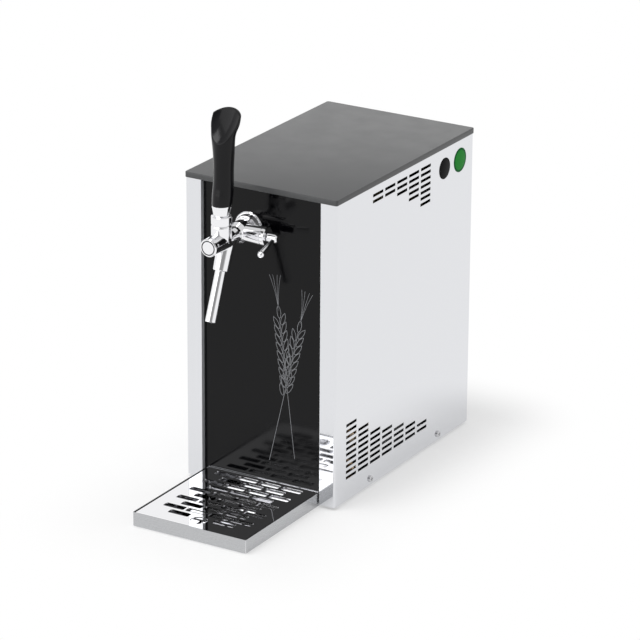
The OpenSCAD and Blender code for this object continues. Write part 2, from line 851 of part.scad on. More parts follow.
module tap_lever() {
  bevel = 0.7;
  low = 5;
  skirt = 7.6;
  color("gainsboro") placed() translate([tap_x, lever_y, tap_z + pin_z]) difference() {
    union() {
      difference() {
        rotate_extrude() polygon([[0, low], [bonnet_r - 2, low], [bonnet_r, skirt],
          [bonnet_r, hub_top - pin_z - bevel], [bonnet_r - bevel, hub_top - pin_z], [0, hub_top - pin_z]]);
        sphere(socket_r);
      }
      cylinder(r = stem_r, h = hub_top - pin_z);
      translate([0, 0, hub_top - pin_z - 1]) cylinder(r = stud_r, h = ferrule_h + stud_deep);
      rotate([0, 90, 0]) cylinder(r = stem_boss_r, h = 2 * stem_half, center = true);
      translate([0, 0, -arm]) cylinder(r = stem_neck_r, h = arm);
      translate([0, 0, -arm]) sphere(lever_ball_r);
    }
    rotate([0, 90, 0]) cylinder(r = lever_pin_r + fit, h = 4 * stem_half, center = true);
  }
}

module handle_ferrule() {
  foot = handle_r - 2.2;
  head = handle_r - 0.7;
  color("gainsboro") placed() translate([tap_x, lever_y, ferrule_z]) rotate_extrude()
    polygon([[stud_r + fit, 0], [foot - 0.5, 0], [foot, 0.5], [head, ferrule_h - 1.4], [head, ferrule_h],
      [stud_r + fit, ferrule_h]]);
}

// One ring of the handle: half widths a across and b along, moved back by y.
function handle_ring(z, a, b, y) =
  [for (i = [0 : 47]) let (t = -i * 7.5) [a * cos(t), y + b * sin(t), z]];

module tap_handle() {
  stations = [0, 0.1, 0.2, 0.36, 0.54, 0.73, 0.84, 1.01];
  across = [-0.04, 0.04, 0, -0.06, 0.13, 0.45, 1, 0.92];
  deep = [0.98, 1.02, 1.03, 1.02, 1, 1.03, 0.98, 0.75];
  lean = [0.1, 0.25, 0.4, 0.46, 0.48, 0.43, 0.81, 1.45];
  crown_r = handle_head + 7.4;
  crown_tilt = 8;
  scoop_r = handle_head * 5.75;
  scoop_wide = 29;
  scoop_low = [-0.72 * handle_r, 0.65 * handle_len];
  scoop_run = [1.94 * handle_lean, handle_len] - scoop_low;
  scoop_out = sqrt(scoop_r * scoop_r - scoop_run * scoop_run / 4);
  scoop_at = scoop_low + scoop_run / 2 + [-scoop_run[1], scoop_run[0]] / norm(scoop_run) * scoop_out;
  color("#1e1e20") placed() translate([tap_x, lever_y, handle_z]) difference() {
    intersection() {
      loft([for (i = [0 : len(stations) - 1])
        handle_ring(stations[i] * handle_len, handle_r + (handle_head - handle_r) * across[i],
          handle_r * deep[i], handle_lean * lean[i])]);
      union() {
        translate([0, 0, handle_len]) rotate([-crown_tilt, 0, 0]) translate([0, 0, -crown_r])
          rotate([90, 0, 0]) cylinder(r = crown_r, h = 8 * handle_r, center = true);
        translate([-2 * handle_head, -3 * handle_r, -1])
          cube([4 * handle_head, 6 * handle_r, handle_len - crown_r + 1]);
      }
    }
    translate([0, scoop_at[0], scoop_at[1]]) rotate([0, 90, 0]) rotate_extrude()
      translate([scoop_r - scoop_wide, 0]) circle(scoop_wide);
    translate([0, 0, -1]) cylinder(r = stud_r + fit, h = stud_deep + 1);
  }
}

module plunger() {
  head_r = 4;
  head_t = 1;
  seal_s = seat_s - 0.2 - seal_t;
  slot_y = lever_ball_r + 0.35;
  color("silver") placed() difference() {
    turned([[0, seal_s - head_t], [head_r, seal_s - head_t], [head_r, seal_s], [rod_r, seal_s],
      [rod_r, slider_s], [plunger_r, slider_s], [plunger_r, slider_end], [rod_r, slider_end],
      [rod_r, cap_thread_s + cap_guide - 0.5], [0, cap_thread_s + cap_guide - 0.5]]);
    translate([tap_x, lever_y, tap_z]) span([-slot_half, -slot_y, -1], [slot_half, slot_y, bore_r + 1]);
  }
}

module plunger_seal() {
  seal_s = seat_s - 0.2 - seal_t;
  color("#222222") placed() turned([[rod_r + fit, seal_s], [seal_r, seal_s], [seal_r, seal_s + seal_t],
    [rod_r + fit, seal_s + seal_t]]);
}

module compensator_spindle() {
  color("silver") placed() {
    cross_bar(spindle_r, chamber_r + gap, barrel_len + 8);
    translate([0, 0, crank]) cross_bar(crank_pin_r, chamber_r - 3, chamber_r + gap);
  }
}

module compensator_lever() {
  hub = 4.8;
  from = barrel_len + 0.6;
  to = from + 11.6;
  arm_x = from + 8;
  color("gainsboro") placed() difference() {
    union() {
      translate([tap_x + from, panel_y - barrel_s, tap_z]) rotate([0, 90, 0]) rotate_extrude()
        polygon([[0, 0], [hub - 0.5, 0], [hub, 0.5], [hub, to - from - 1.5], [hub - 1.5, to - from],
          [0, to - from]]);
      translate([tap_x + arm_x, panel_y - barrel_s, tap_z]) rotate([90 + comp_droop, 0, 0]) {
        cylinder(r1 = 1.8, r2 = comp_ball_r - 0.2, h = comp_lever_len);
        translate([0, 0, comp_lever_len]) sphere(comp_ball_r);
      }
    }
    cross_bar(spindle_r, from - 1, barrel_len + 8);
  }
}

module compensator_cone() {
  from = barrel_s - cone_len / 2;
  key = crank_pin_r + 0.25;
  color("white") placed() difference() {
    turned([[0, from], [cone_r[0], from], [cone_r[1], from + cone_len], [0, from + cone_len]]);
    translate([tap_x, panel_y - barrel_s, tap_z])
      span([chamber_r - 3.4, -key, -crank_pin_r - 0.6], [chamber_r + 1, key, crank + crank_pin_r + 0.4]);
  }
}

// Drip tray

module drip_tray() {
  ledge_z = grille_top - grille_t - tray_z;
  color("silver") placed() translate([tray_x, tray_back - tray_d / 2, tray_z]) {
    difference() {
      linear_extrude(tray_h) round_rect(tray_w, tray_d, 2);
      translate([0, 0, tray_t]) linear_extrude(tray_h)
        round_rect(tray_w - 2 * tray_t, tray_d - 2 * tray_t, 1);
    }
    for (x = [-1, 1]) translate([x * (tray_w / 2 - tray_t - ledge_w / 2), 0, ledge_z - tray_t / 2])
      cube([ledge_w, tray_d - 2 * tray_t - 8, tray_t], center = true);
  }
}

module tray_pads() {
  pad_r = 6;
  color("#1c1c1c") placed() translate([tray_x, tray_back - tray_d / 2, 0])
    for (x = [-1, 1], y = [-1, 1]) translate([x * (tray_w / 2 - 14), y * (tray_d / 2 - 14), 0])
      cylinder(r = pad_r, h = pad_h);
}

// Outline of the grille plate with its staggered slots and finger hole.
module grille_plan(w, d) {
  difference() {
    round_rect(w, d, 1);
    for (i = [0 : row_n - 1]) {
      n = i % 2 == 0 ? 3 : 4;
      y = row_first + i * row_pitch - tray_d / 2;
      for (k = [0 : n - 1])
        if (i > 0 || k != 1)
          translate([(k - (n - 1) / 2) * slot_pitch, y]) round_rect(slot_len, slot_w, slot_r);
    }
    translate([0, finger_in - tray_d / 2]) circle(finger_r);
  }
}

module drip_grille() {
  inset = 2 * tray_t + 2 * grille_side;
  color("gainsboro") placed() translate([tray_x, tray_back - tray_d / 2, grille_top - grille_t])
    linear_extrude(grille_t) grille_plan(tray_w - inset, tray_d - inset);
}

// Refrigeration

module compressor() {
  r = comp_shell_r;
  h = comp_shell_h;
  seam = 3;
  foot_half = grommet_y + grommet_r + 2;
  color("#2b2b2d") placed() difference() {
    union() {
      translate([0, comp_y, comp_z]) {
        rotate_extrude() {
          square([r - shell_round, h]);
          translate([0, shell_round]) square([r, h - 2 * shell_round]);
          for (z = [shell_round, h - shell_round]) intersection() {
            translate([r - shell_round, z]) circle(shell_round);
            translate([r - shell_round, 0]) square([shell_round, h]);
          }
          translate([0, seam_z]) square([r + seam, seam_t]);
        }
        span([0, -port_half, h * 0.28], [terminal_x, port_half, h * 0.52]);
      }
      for (x = [-1, 1]) translate([x * grommet_x, comp_y, comp_z - comp_foot_t / 2])
        cube([2 * grommet_r + 4, 2 * foot_half, comp_foot_t], center = true);
      rod([0, comp_y, pipe_z], [0, stub_end, pipe_z], stub_r);
      rod([0, comp_y, discharge_z], [-r - stub_out, comp_y, discharge_z], stub_r);
      translate([0, comp_y, comp_z - comp_foot_t / 2])
        cube([2 * grommet_x, foot_plate, comp_foot_t], center = true);
    }
    for (x = [-1, 1], y = [-1, 1])
      translate([x * grommet_x, comp_y + y * grommet_y, comp_z - comp_foot_t - 1])
        cylinder(r = screw_r + 1 + fit, h = comp_foot_t + 2);
  }
}

module compressor_grommets() {
  color("#1c1c1c") placed() for (x = [-1, 1], y = [-1, 1])
    translate([x * grommet_x, comp_y + y * grommet_y, floor_z]) rotate_extrude()
      polygon([[screw_r + 1 + fit, 0], [grommet_r, 0], [grommet_r, grommet_h * 0.35],
        [grommet_r - 2, grommet_h * 0.42], [grommet_r - 2, grommet_h * 0.58], [grommet_r, grommet_h * 0.65],
        [grommet_r, grommet_h], [screw_r + 1 + fit, grommet_h]]);
}

module terminal_cover() {
  color("#333335") placed()
    translate([terminal_x, comp_y - terminal_box[1] / 2, comp_z + seam_z - gap - terminal_box[2]])
      cube(terminal_box);
}

// Places children at each condenser tube end: front and rear column, all rows.
module at_tubes() {
  for (c = [0, 1], i = [0 : tube_rows - 1])
    translate([0, tube_y + c * tube_pitch_y, tube_z + i * tube_pitch_z]) children();
}

module condenser_plate(t) {
  difference() {
    translate([0, cond_y, cond_z]) cube([t, cond_d, cond_h]);
    at_tubes() rotate([0, 90, 0]) cylinder(r = coil_r + fit, h = 4 * t, center = true);
  }
}

module condenser_fins() {
  n = floor((cond_w - 2 * end_t) / fin_pitch) - 1;
  color("silver") placed() {
    translate([-cond_x, 0, 0]) condenser_plate(end_t);
    translate([cond_x - end_t, 0, 0]) condenser_plate(end_t);
    for (i = [0 : n - 1]) translate([(i - (n - 1) / 2) * fin_pitch - fin_t / 2, 0, 0]) condenser_plate(fin_t);
  }
}

// Tubes through the fins, joined by half-round bends into one run: down the rear column, up the front one.
module condenser_coil() {
  x = -coil_end;
  color("#b87333") placed() {
    at_tubes() rotate([0, 90, 0]) cylinder(r = coil_r, h = 2 * x, center = true);
    for (c = [0, 1], i = [0 : tube_rows - 2]) {
      side = i % 2 == 0 ? 1 : -1;
      translate([side * x, tube_y + c * tube_pitch_y, tube_z + (i + 0.5) * tube_pitch_z])
        rotate([90, 0, 0]) rotate(side > 0 ? -90 : 90)
          rotate_extrude(angle = 180) translate([tube_pitch_z / 2, 0]) circle(coil_r);
    }
    translate([-x, tube_y + tube_pitch_y / 2, tube_z]) rotate(90)
      rotate_extrude(angle = 180) translate([tube_pitch_y / 2, 0]) circle(coil_r);
  }
}

module fan_shroud() {
  color("dimgray") placed() difference() {
    union() {
      span([-cond_x, shroud_y, cond_z], [cond_x, shroud_y + shroud_t, cond_z + cond_h]);
      y_bar(0, fan_z, ring_r + ring_t, shroud_y, shroud_y + shroud_t + ring_len);
    }
    y_bar(0, fan_z, ring_r, shroud_y - 1, shroud_y + ring_len + 4);
  }
}

module fan_bracket() {
  y = motor_y;
  leg = ring_r + ring_t + 2;
  low = fan_z - bracket_w / 2;
  high = fan_z + bracket_w / 2;
  color("dimgray") placed() difference() {
    union() {
      span([-leg - bracket_t, y, low], [leg + bracket_t, y + bracket_t, high]);
      for (m = [0, 1]) mirror([m, 0, 0])
        span([leg, shroud_y + shroud_t, low], [leg + bracket_t, y + bracket_t, high]);
    }
    y_bar(0, fan_z, 6, y - 1, y + 4);
  }
}

module fan_motor() {
  color("#3a3a3c") placed() {
    y_bar(0, fan_z, motor_r, motor_y + bracket_t, motor_y + bracket_t + motor_len);
    y_bar(0, fan_z, axle_r, fan_y + 2, motor_y + bracket_t + 1);
  }
}

module fan_blades() {
  color("#d8d8d8") placed() translate([0, fan_y, fan_z]) rotate([-90, 0, 0]) difference() {
    union() {
      cylinder(r = hub_r, h = blade_len);
      for (i = [0 : blade_n - 1]) rotate(i * 360 / blade_n) translate([hub_r - 3, 0, blade_len / 2])
        intersection() {
          rotate([32, 0, 0]) translate([0, -10, -0.7]) cube([fan_r - hub_r + 2, 20, 1.4]);
          translate([0, -20, 0.4 - blade_len / 2]) cube([fan_r, 40, blade_len - 0.8]);
        }
    }
    translate([0, 0, 2 - run]) cylinder(r = axle_r + run, h = blade_len);
  }
}

module shelf() {
  side = wall_x - gap;
  leg = side - base_t - 1;
  color("silver") placed() difference() {
    union() {
      span([-side, room_y, shelf_z], [side, shelf_end, shelf_z + shelf_t]);
      for (m = [0, 1]) mirror([m, 0, 0])
        span([leg - shelf_t, shelf_end - shelf_leg, floor_z], [leg, shelf_end, shelf_z]);
    }
    translate([0, drop_y, shelf_z - 1]) cylinder(r = pipe_r + 3, h = shelf_t + 2);
    translate([drier_x, cap_y, shelf_z - 1]) cylinder(r = cap_r + 2, h = shelf_t + 2);
  }
}

module cooling_block() {
  color("#c8cacc") placed() difference() {
    span([-block_w / 2, block_y, block_z], [block_w / 2, block_y + block_d, block_top]);
    translate([tap_x, out_y, block_top - hole_deep]) cylinder(r = beer_pipe_r + fit, h = hole_deep + 1);
    y_bar(inlet_x, inlet_z, beer_pipe_r + fit, block_y + block_d - hole_deep, block_y + block_d + 1);
    y_bar(0, suction_z, pipe_r + fit, block_y + block_d - hole_deep, block_y + block_d + 1);
    y_bar(cap_x, cap_z, cap_r + fit, block_y + block_d - hole_deep, block_y + block_d + 1);
  }
}

module block_insulation() {
  x = block_w / 2;
  end = block_y + block_d;
  color("#e9e2c8") placed() difference() {
    union() {
      difference() {
        span([-x - foam_t, block_y - foam_t, block_z - foam_t], [x + foam_t, foam_end, block_top]);
        span([-x, block_y, block_z], [x, end, block_top + 1]);
      }
      span([-x - foam_t, block_y - foam_t, block_top], [x + foam_t, foam_end, block_top + foam_t]);
    }
    translate([tap_x, out_y, block_top - 1]) cylinder(r = beer_pipe_r + fit, h = foam_t + 2);
    y_bar(inlet_x, inlet_z, beer_pipe_r + fit, end - 1, foam_end + 1);
    y_bar(0, suction_z, pipe_r + fit, end - 1, foam_end + 1);
    y_bar(cap_x, cap_z, cap_r + fit, end - 1, foam_end + 1);
  }
}

module beer_outlet_pipe() {
  color("silver") placed()
    pipe([[tap_x, out_y, block_top - seat_deep], [tap_x, out_y, tap_z],
      [tap_x, panel_y + shank_in - 10, tap_z]], beer_pipe_r, out_bend, 1);
}

module beer_inlet_pipe() {
  color("silver") placed()
    pipe([[inlet_x, block_y + block_d - seat_deep, inlet_z], [inlet_x, back_y - fitting_in, inlet_z]],
      beer_pipe_r, 8, 1);
}

module suction_pipe() {
  color("#b87333") placed()
    pipe([[0, block_y + block_d - seat_deep, suction_z], [0, drop_y, suction_z], [0, drop_y, pipe_z],
      [0, stub_end, pipe_z]], pipe_r, suction_bend, pipe_wall);
}

module discharge_pipe() {
  y = tube_y + tube_pitch_y;
  far = side_pipe - wall_x;
  near = -comp_shell_r - stub_out;
  color("#b87333") placed()
    pipe([[near, comp_y, discharge_z], [far, comp_y, discharge_z], [far, riser_y, discharge_z],
      [far, riser_y, coil_top], [far, y, coil_top], [coil_end, y, coil_top]], pipe_r, side_bend, pipe_wall);
}

module liquid_pipe() {
  over = coil_top + 16;
  down = drier_y[0] - 14;
  color("#b87333") placed()
    pipe([[coil_end, tube_y, coil_top], [drier_x, tube_y, coil_top], [drier_x, tube_y, over],
      [drier_x, down, over], [drier_x, down, drier_z], [drier_x, drier_y[0], drier_z]],
      pipe_r, side_bend, pipe_wall);
}

module filter_drier() {
  color("#b87333") placed() y_bar(drier_x, drier_z, drier_r, drier_y[0], drier_y[1]);
}

module capillary_pipe() {
  color("#b87333") placed()
    line([[drier_x, drier_y[1], drier_z], [drier_x, cap_y, drier_z], [drier_x, cap_y, cap_z],
      [cap_x, cap_y, cap_z], [cap_x, block_y + block_d - seat_deep, cap_z]], cap_r, 5);
}

module air_pump() {
  z = shelf_z + shelf_t;
  color("#3c3f44") placed() {
    span([pump_x[0], pump_y[0], z], [pump_x[1], pump_y[1], z + pump_h]);
    translate([air_x, (pump_y[0] + pump_y[1]) / 2, z + pump_h - 1]) cylinder(r = air_hose_r - 1.2, h = 11);
  }
}

module air_hose() {
  y = (pump_y[0] + pump_y[1]) / 2;
  color("#dfe6ea") placed()
    pipe([[air_x, y, pump_top], [air_x, y, air_z], [air_x, back_y + 1, air_z]], air_hose_r, 8, 1);
}

// Back

// A push-in fitting through the back panel: bore open to the back.
module fitting(x, z, bore, inside) {
  difference() {
    union() {
      y_bar(x, z, fitting_body_r, back_y - fitting_in, cab_d + fitting_out);
      y_bar(x, z, fitting_flange_r, back_y + sheet_t, back_y + sheet_t + fitting_flange_t);
    }
    y_bar(x, z, bore, back_y + 3, cab_d + fitting_out + 1);
    y_bar(x, z, inside, back_y - fitting_in - 1, back_y + 4);
  }
}

module beer_inlet_fitting() {
  color("#55585c") placed() fitting(inlet_x, inlet_z, beer_bore_r, beer_pipe_r - 1);
}

module air_outlet_fitting() {
  color("#55585c") placed() difference() {
    fitting(air_x, air_z, air_bore_r, air_hose_r - 1);
    y_bar(air_x, air_z, air_hose_r + fit, back_y - fitting_in - 1, back_y + 1);
  }
}

module cable_gland() {
  color("#222222") placed() difference() {
    union() {
      y_bar(gland_x, gland_z, gland_body_r, back_y - gland_in, cab_d + gland_out);
      y_bar(gland_x, gland_z, gland_r, back_y + sheet_t, back_y + sheet_t + 4);
      y_bar(gland_x, gland_z, gland_r, back_y - 4, back_y);
    }
    y_bar(gland_x, gland_z, gland_bore_r, back_y - gland_in - 1, cab_d + gland_out + 1);
  }
}

module thermostat() {
  color("#3a3a3c") placed() difference() {
    span([-thermo_box[0] / 2, back_y - thermo_box[1], thermo_z - thermo_box[2] / 2],
      [thermo_box[0] / 2, back_y, thermo_z + thermo_box[2] / 2]);
    y_bar(0, thermo_z, thermo_shaft_r + run, back_y - 16, back_y + 1);
  }
}

module thermostat_knob() {
  bottom = back_y + sheet_t + 1;
  ribs = 18;
  color("#1e1e20") placed() {
    difference() {
      translate([0, bottom, thermo_z]) rotate([-90, 0, 0]) rotate_extrude()
        polygon([[0, 0], [knob_r, 0], [knob_r, knob_h - 1.2], [knob_r - 1.2, knob_h], [0, knob_h]]);
      for (i = [0 : ribs - 1]) translate([0, bottom - 1, thermo_z]) rotate([0, i * 360 / ribs, 0])
        translate([knob_r, 0, 0]) rotate([-90, 0, 0]) cylinder(r = 0.8, h = knob_h + 2);
      span([-0.8, bottom + knob_h - 0.8, thermo_z + knob_r * 0.3],
        [0.8, bottom + knob_h + 1, thermo_z + knob_r]);
    }
    y_bar(0, thermo_z, thermo_shaft_r, back_y - 15, bottom);
  }
}

module switch_housing() {
  w = rocker_w / 2;
  h = rocker_h / 2;
  color("#1e1e20") placed() difference() {
    union() {
      span([switch_x - w - switch_frame, cab_d - sheet_t, switch_z - h - switch_frame],
        [switch_x + w + switch_frame, cab_d - sheet_t + switch_out, switch_z + h + switch_frame]);
      span([switch_x - w - 1, back_y - switch_deep, switch_z - h - 1],
        [switch_x + w + 1, cab_d - sheet_t, switch_z + h + 1]);
    }
    span([switch_x - w, back_y - switch_deep + 3, switch_z - h], [switch_x + w, cab_d + 5, switch_z + h]);
    translate([switch_x, back_y - rocker_pivot, switch_z]) rotate([0, 90, 0])
      cylinder(r = 1.5 + fit, h = rocker_w + 1.4, center = true);
  }
}

// The rocker: a wedge-faced key on a cross pin.
module switch_rocker() {
  w = rocker_w / 2 - gap;
  h = rocker_h / 2 - 1.5;
  top = rocker_pivot + sheet_t + switch_out + 2;
  color("#c8281e") placed() translate([switch_x, back_y - rocker_pivot, switch_z])
    rotate([rocker_rock, 0, 0]) {
      rotate([90, 0, 90]) translate([0, 0, -w]) linear_extrude(2 * w)
        polygon([[-3, -5], [0, -h], [top, -h], [top - 1.8, 0], [top, h], [0, h], [-3, 5]]);
      rotate([0, 90, 0]) cylinder(r = 1.5, h = rocker_w + 1, center = true);
    }
}

base_pan();
left_side_panel();
right_side_panel();
back_panel();
front_panel();
front_bulkhead();
lid_rails();
lid();
rubber_feet();
casing_screws();
tap_rosette();
tap_shank();
shank_nut();
coupling_nut();
compensator_body();
gland_nut();
tap_body();
lever_pin();
front_cap();
spout_collar();
spout();
tap_lever();
handle_ferrule();
tap_handle();
plunger();
plunger_seal();
compensator_spindle();
compensator_lever();
compensator_cone();
drip_tray();
tray_pads();
drip_grille();
compressor();
compressor_grommets();
terminal_cover();
condenser_fins();
condenser_coil();
fan_shroud();
fan_bracket();
fan_motor();
fan_blades();
shelf();
cooling_block();
block_insulation();
beer_inlet_pipe();
beer_outlet_pipe();
discharge_pipe();
liquid_pipe();
filter_drier();
capillary_pipe();
suction_pipe();
air_pump();
air_hose();
beer_inlet_fitting();
air_outlet_fitting();
cable_gland();
thermostat();
thermostat_knob();
switch_housing();
switch_rocker();
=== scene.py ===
import math

import bmesh
import bpy
from bpy.props import FloatProperty, FloatVectorProperty, IntProperty, PointerProperty
from mathutils import Matrix, Vector


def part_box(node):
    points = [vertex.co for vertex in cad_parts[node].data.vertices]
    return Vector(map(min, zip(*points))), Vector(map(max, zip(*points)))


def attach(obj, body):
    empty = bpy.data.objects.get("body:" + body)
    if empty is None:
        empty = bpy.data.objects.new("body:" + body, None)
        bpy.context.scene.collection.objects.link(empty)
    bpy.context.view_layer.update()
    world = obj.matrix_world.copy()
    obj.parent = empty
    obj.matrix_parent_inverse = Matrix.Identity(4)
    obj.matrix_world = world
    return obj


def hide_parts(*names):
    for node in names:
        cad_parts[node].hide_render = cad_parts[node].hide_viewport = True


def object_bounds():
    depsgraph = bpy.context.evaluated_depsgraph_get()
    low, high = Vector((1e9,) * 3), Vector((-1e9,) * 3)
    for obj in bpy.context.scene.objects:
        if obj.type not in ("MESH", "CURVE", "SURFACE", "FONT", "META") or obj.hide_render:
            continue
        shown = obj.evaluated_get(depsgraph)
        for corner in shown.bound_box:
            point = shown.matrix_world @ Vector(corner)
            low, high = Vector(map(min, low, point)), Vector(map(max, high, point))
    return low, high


bl_info = {
    "name": "Beer tap cooler",
    "version": (1, 0, 0),
    "blender": (4, 5, 0),
    "location": "View3D > Sidebar > Cooler",
    "description": "Gives the packed beer tap cooler its finishes, its fine forms and a studio stage",
    "category": "Object",
}

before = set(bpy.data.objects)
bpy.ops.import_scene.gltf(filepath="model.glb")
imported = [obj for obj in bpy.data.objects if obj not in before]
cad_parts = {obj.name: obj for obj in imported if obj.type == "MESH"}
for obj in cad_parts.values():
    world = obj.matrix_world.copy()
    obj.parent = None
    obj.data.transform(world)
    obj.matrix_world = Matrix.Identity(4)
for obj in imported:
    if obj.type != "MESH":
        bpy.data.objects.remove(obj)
cad_low, cad_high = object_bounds()
MM = 0.001
WHITE = (1, 1, 1, 1)
QUARTER = math.pi / 2


def linear(code):
    """Turns an sRGB hex value into a linear colour."""
    parts = [int(code[i:i + 2], 16) / 255 for i in (1, 3, 5)]
    return tuple(c / 12.92 if c <= 0.04045 else ((c + 0.055) / 1.055) ** 2.4 for c in parts)


def per(size_mm):
    """The texture scale at which one feature is that many millimetres wide."""
    return 1 / (size_mm * MM)


# Sizes and colours a user would change

class CoolerSizes(bpy.types.PropertyGroup):
    """Sizes of the pieces that are modelled here."""
    lid_corner: FloatProperty(name="Lid corner", description="Corner radius of the lid in plan",
                              default=2.5 * MM, min=0, unit="LENGTH")
    lid_edge: FloatProperty(name="Lid edge", description="Softened edge of the lid",
                            default=0.7 * MM, min=0, unit="LENGTH")
    handle_foot: FloatProperty(name="Handle foot", description="Half width of the handle at its foot",
                               default=10.2 * MM, unit="LENGTH")
    handle_head: FloatProperty(name="Handle head", description="Half width of the handle at its head",
                               default=15.4 * MM, unit="LENGTH")
    handle_long: FloatProperty(name="Handle length", description="Height of the handle above its ferrule",
                               default=99 * MM, unit="LENGTH")
    handle_lean: FloatProperty(name="Handle lean", description="How far the head of the handle leans back",
                               default=9.6 * MM, unit="LENGTH")
    handle_grid: FloatProperty(name="Handle grid",
                               description="Grid of the remesh that rounds the handle's ridges",
                               default=0.55 * MM, min=0.3 * MM, unit="LENGTH")
    screw_head: FloatProperty(name="Screw head", description="Radius of a casing screw's head",
                              default=3.6 * MM, unit="LENGTH")
    disc_small: FloatProperty(name="Black disc", description="Radius of the black disc on the side",
                              default=11.4 * MM, unit="LENGTH")
    disc_large: FloatProperty(name="Green disc", description="Radius of the green disc on the side",
                              default=13 * MM, unit="LENGTH")
    disc_thick: FloatProperty(name="Disc thickness", description="Thickness of the discs on the side",
                              default=0.2 * MM, unit="LENGTH")
    print_line: FloatProperty(name="Printed line", description="Width of the lines printed on the front",
                              default=0.5 * MM, unit="LENGTH")
    grain_pairs: IntProperty(name="Grain pairs", description="Pairs of grains on a printed ear of barley",
                             default=8, min=3, max=14)


class CoolerColours(bpy.types.PropertyGroup):
    """Main colours of the finishes."""
    steel: FloatVectorProperty(name="Stainless steel", description="Polished side panels", subtype="COLOR",
                               default=linear("#e1e2e5"), min=0, max=1)
    front: FloatVectorProperty(name="Front", description="Gloss front panel", subtype="COLOR",
                               default=linear("#040406"), min=0, max=1)
    lid: FloatVectorProperty(name="Lid", description="Satin lid", subtype="COLOR",
                             default=linear("#4a4b4c"), min=0, max=1)
    handle: FloatVectorProperty(name="Handle", description="Tap handle", subtype="COLOR",
                                default=linear("#0d0d10"), min=0, max=1)
    chrome: FloatVectorProperty(name="Chrome", description="Plated tap pieces", subtype="COLOR",
                                default=linear("#f1f1f3"), min=0, max=1)
    tray: FloatVectorProperty(name="Tray", description="Satin drip tray", subtype="COLOR",
                              default=linear("#bdbec0"), min=0, max=1)
    green: FloatVectorProperty(name="Green disc", description="Green disc on the side", subtype="COLOR",
                               default=linear("#2f9c3c"), min=0, max=1)
    line: FloatVectorProperty(name="Printed line", description="Lines printed on the front", subtype="COLOR",
                              default=linear("#8f9094"), min=0, max=1)


# Small helpers for materials

def add(tree, kind, inputs=None, **settings):
    """Adds a node, sets its properties and gives each input a value or a link.

    A link comes from another node's first output, or from the output that is named.
    """
    node = tree.nodes.new(kind)
    for name, value in settings.items():
        setattr(node, name, value)
    for socket, value in (inputs or {}).items():
        source = value.outputs[0] if isinstance(value, bpy.types.Node) else value
        if isinstance(source, bpy.types.NodeSocket):
            tree.links.new(source, node.inputs[socket])
        else:
            node.inputs[socket].default_value = source
    return node


def new_finish(name):
    """An empty node material, its tree and the object's own coordinates in it."""
    material = bpy.data.materials.new(name)
    material.use_nodes = True
    tree = material.node_tree
    tree.nodes.clear()
    return material, tree, add(tree, "ShaderNodeTexCoord").outputs["Object"]


def paint(names, material):
    """Gives CAD nodes a finish."""
    for name in names:
        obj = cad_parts[name]
        obj.data.materials.clear()
        obj.data.materials.append(material)
        for polygon in obj.data.polygons:
            polygon.material_index = 0


# Finishes

def polished_sheet(name, colour, rough=(0.03, 0.07), wave=0.05, cut_at=None):
    """Bright-rolled stainless: mirror-like, with faint upright rolling streaks and a slow wave in the sheet.

    The streaks are drawn 0.5 mm wide so that they show. The folded-in edge, so far from the middle, is
    ground matt, which leaves a pale line beside the front.
    """
    material, tree, place = new_finish(name)
    stretch = add(tree, "ShaderNodeMapping", {"Scale": (per(0.5), per(0.5), per(60)), "Vector": place})
    streak = add(tree, "ShaderNodeTexNoise", {"Scale": 1, "Detail": 2, "Vector": stretch})
    spread = add(tree, "ShaderNodeMapRange", {"Value": streak, "From Min": 0.3, "From Max": 0.7,
                                              "To Min": rough[0], "To Max": rough[1]})
    if cut_at:
        ground, reach = 0.75, 0.3 * MM
        split = add(tree, "ShaderNodeSeparateXYZ", {0: place})
        wide = add(tree, "ShaderNodeMath", {0: split.outputs["X"]}, operation="ABSOLUTE")
        edge = add(tree, "ShaderNodeMath", {0: wide, 1: cut_at, 2: reach}, operation="COMPARE")
        spread = add(tree, "ShaderNodeMix", {0: edge, 2: spread, 3: ground}, data_type="FLOAT")
    slow = add(tree, "ShaderNodeTexNoise", {"Scale": per(120), "Detail": 0, "Vector": place})
    bump = add(tree, "ShaderNodeBump", {"Strength": wave, "Distance": 2 * MM, "Height": slow})
    shader = add(tree, "ShaderNodeBsdfPrincipled", {"Base Color": (*colour, 1), "Metallic": 1,
                                                    "Roughness": spread, "Normal": bump})
    add(tree, "ShaderNodeOutputMaterial", {"Surface": shader})
    return material


def brushed_sheet(name, colour, along, rough=(0.22, 0.36)):
    """Satin stainless: a belt leaves fine parallel scratches, drawn 0.4 mm wide here so that they show."""
    material, tree, place = new_finish(name)
    scale = [per(30) if axis in along else per(0.4) for axis in "xyz"]
    stretch = add(tree, "ShaderNodeMapping", {"Scale": scale, "Vector": place})
    scratch = add(tree, "ShaderNodeTexNoise", {"Scale": 1, "Detail": 4, "Roughness": 0.6, "Vector": stretch})
    spread = add(tree, "ShaderNodeMapRange", {"Value": scratch, "From Min": 0.3, "From Max": 0.7,
                                              "To Min": rough[0], "To Max": rough[1]})
    bump = add(tree, "ShaderNodeBump", {"Strength": 0.12, "Distance": 0.05 * MM, "Height": scratch})
    shader = add(tree, "ShaderNodeBsdfPrincipled", {"Base Color": (*colour, 1), "Metallic": 1,
                                                    "Roughness": spread, "Normal": bump})
    add(tree, "ShaderNodeOutputMaterial", {"Surface": shader})
    return material


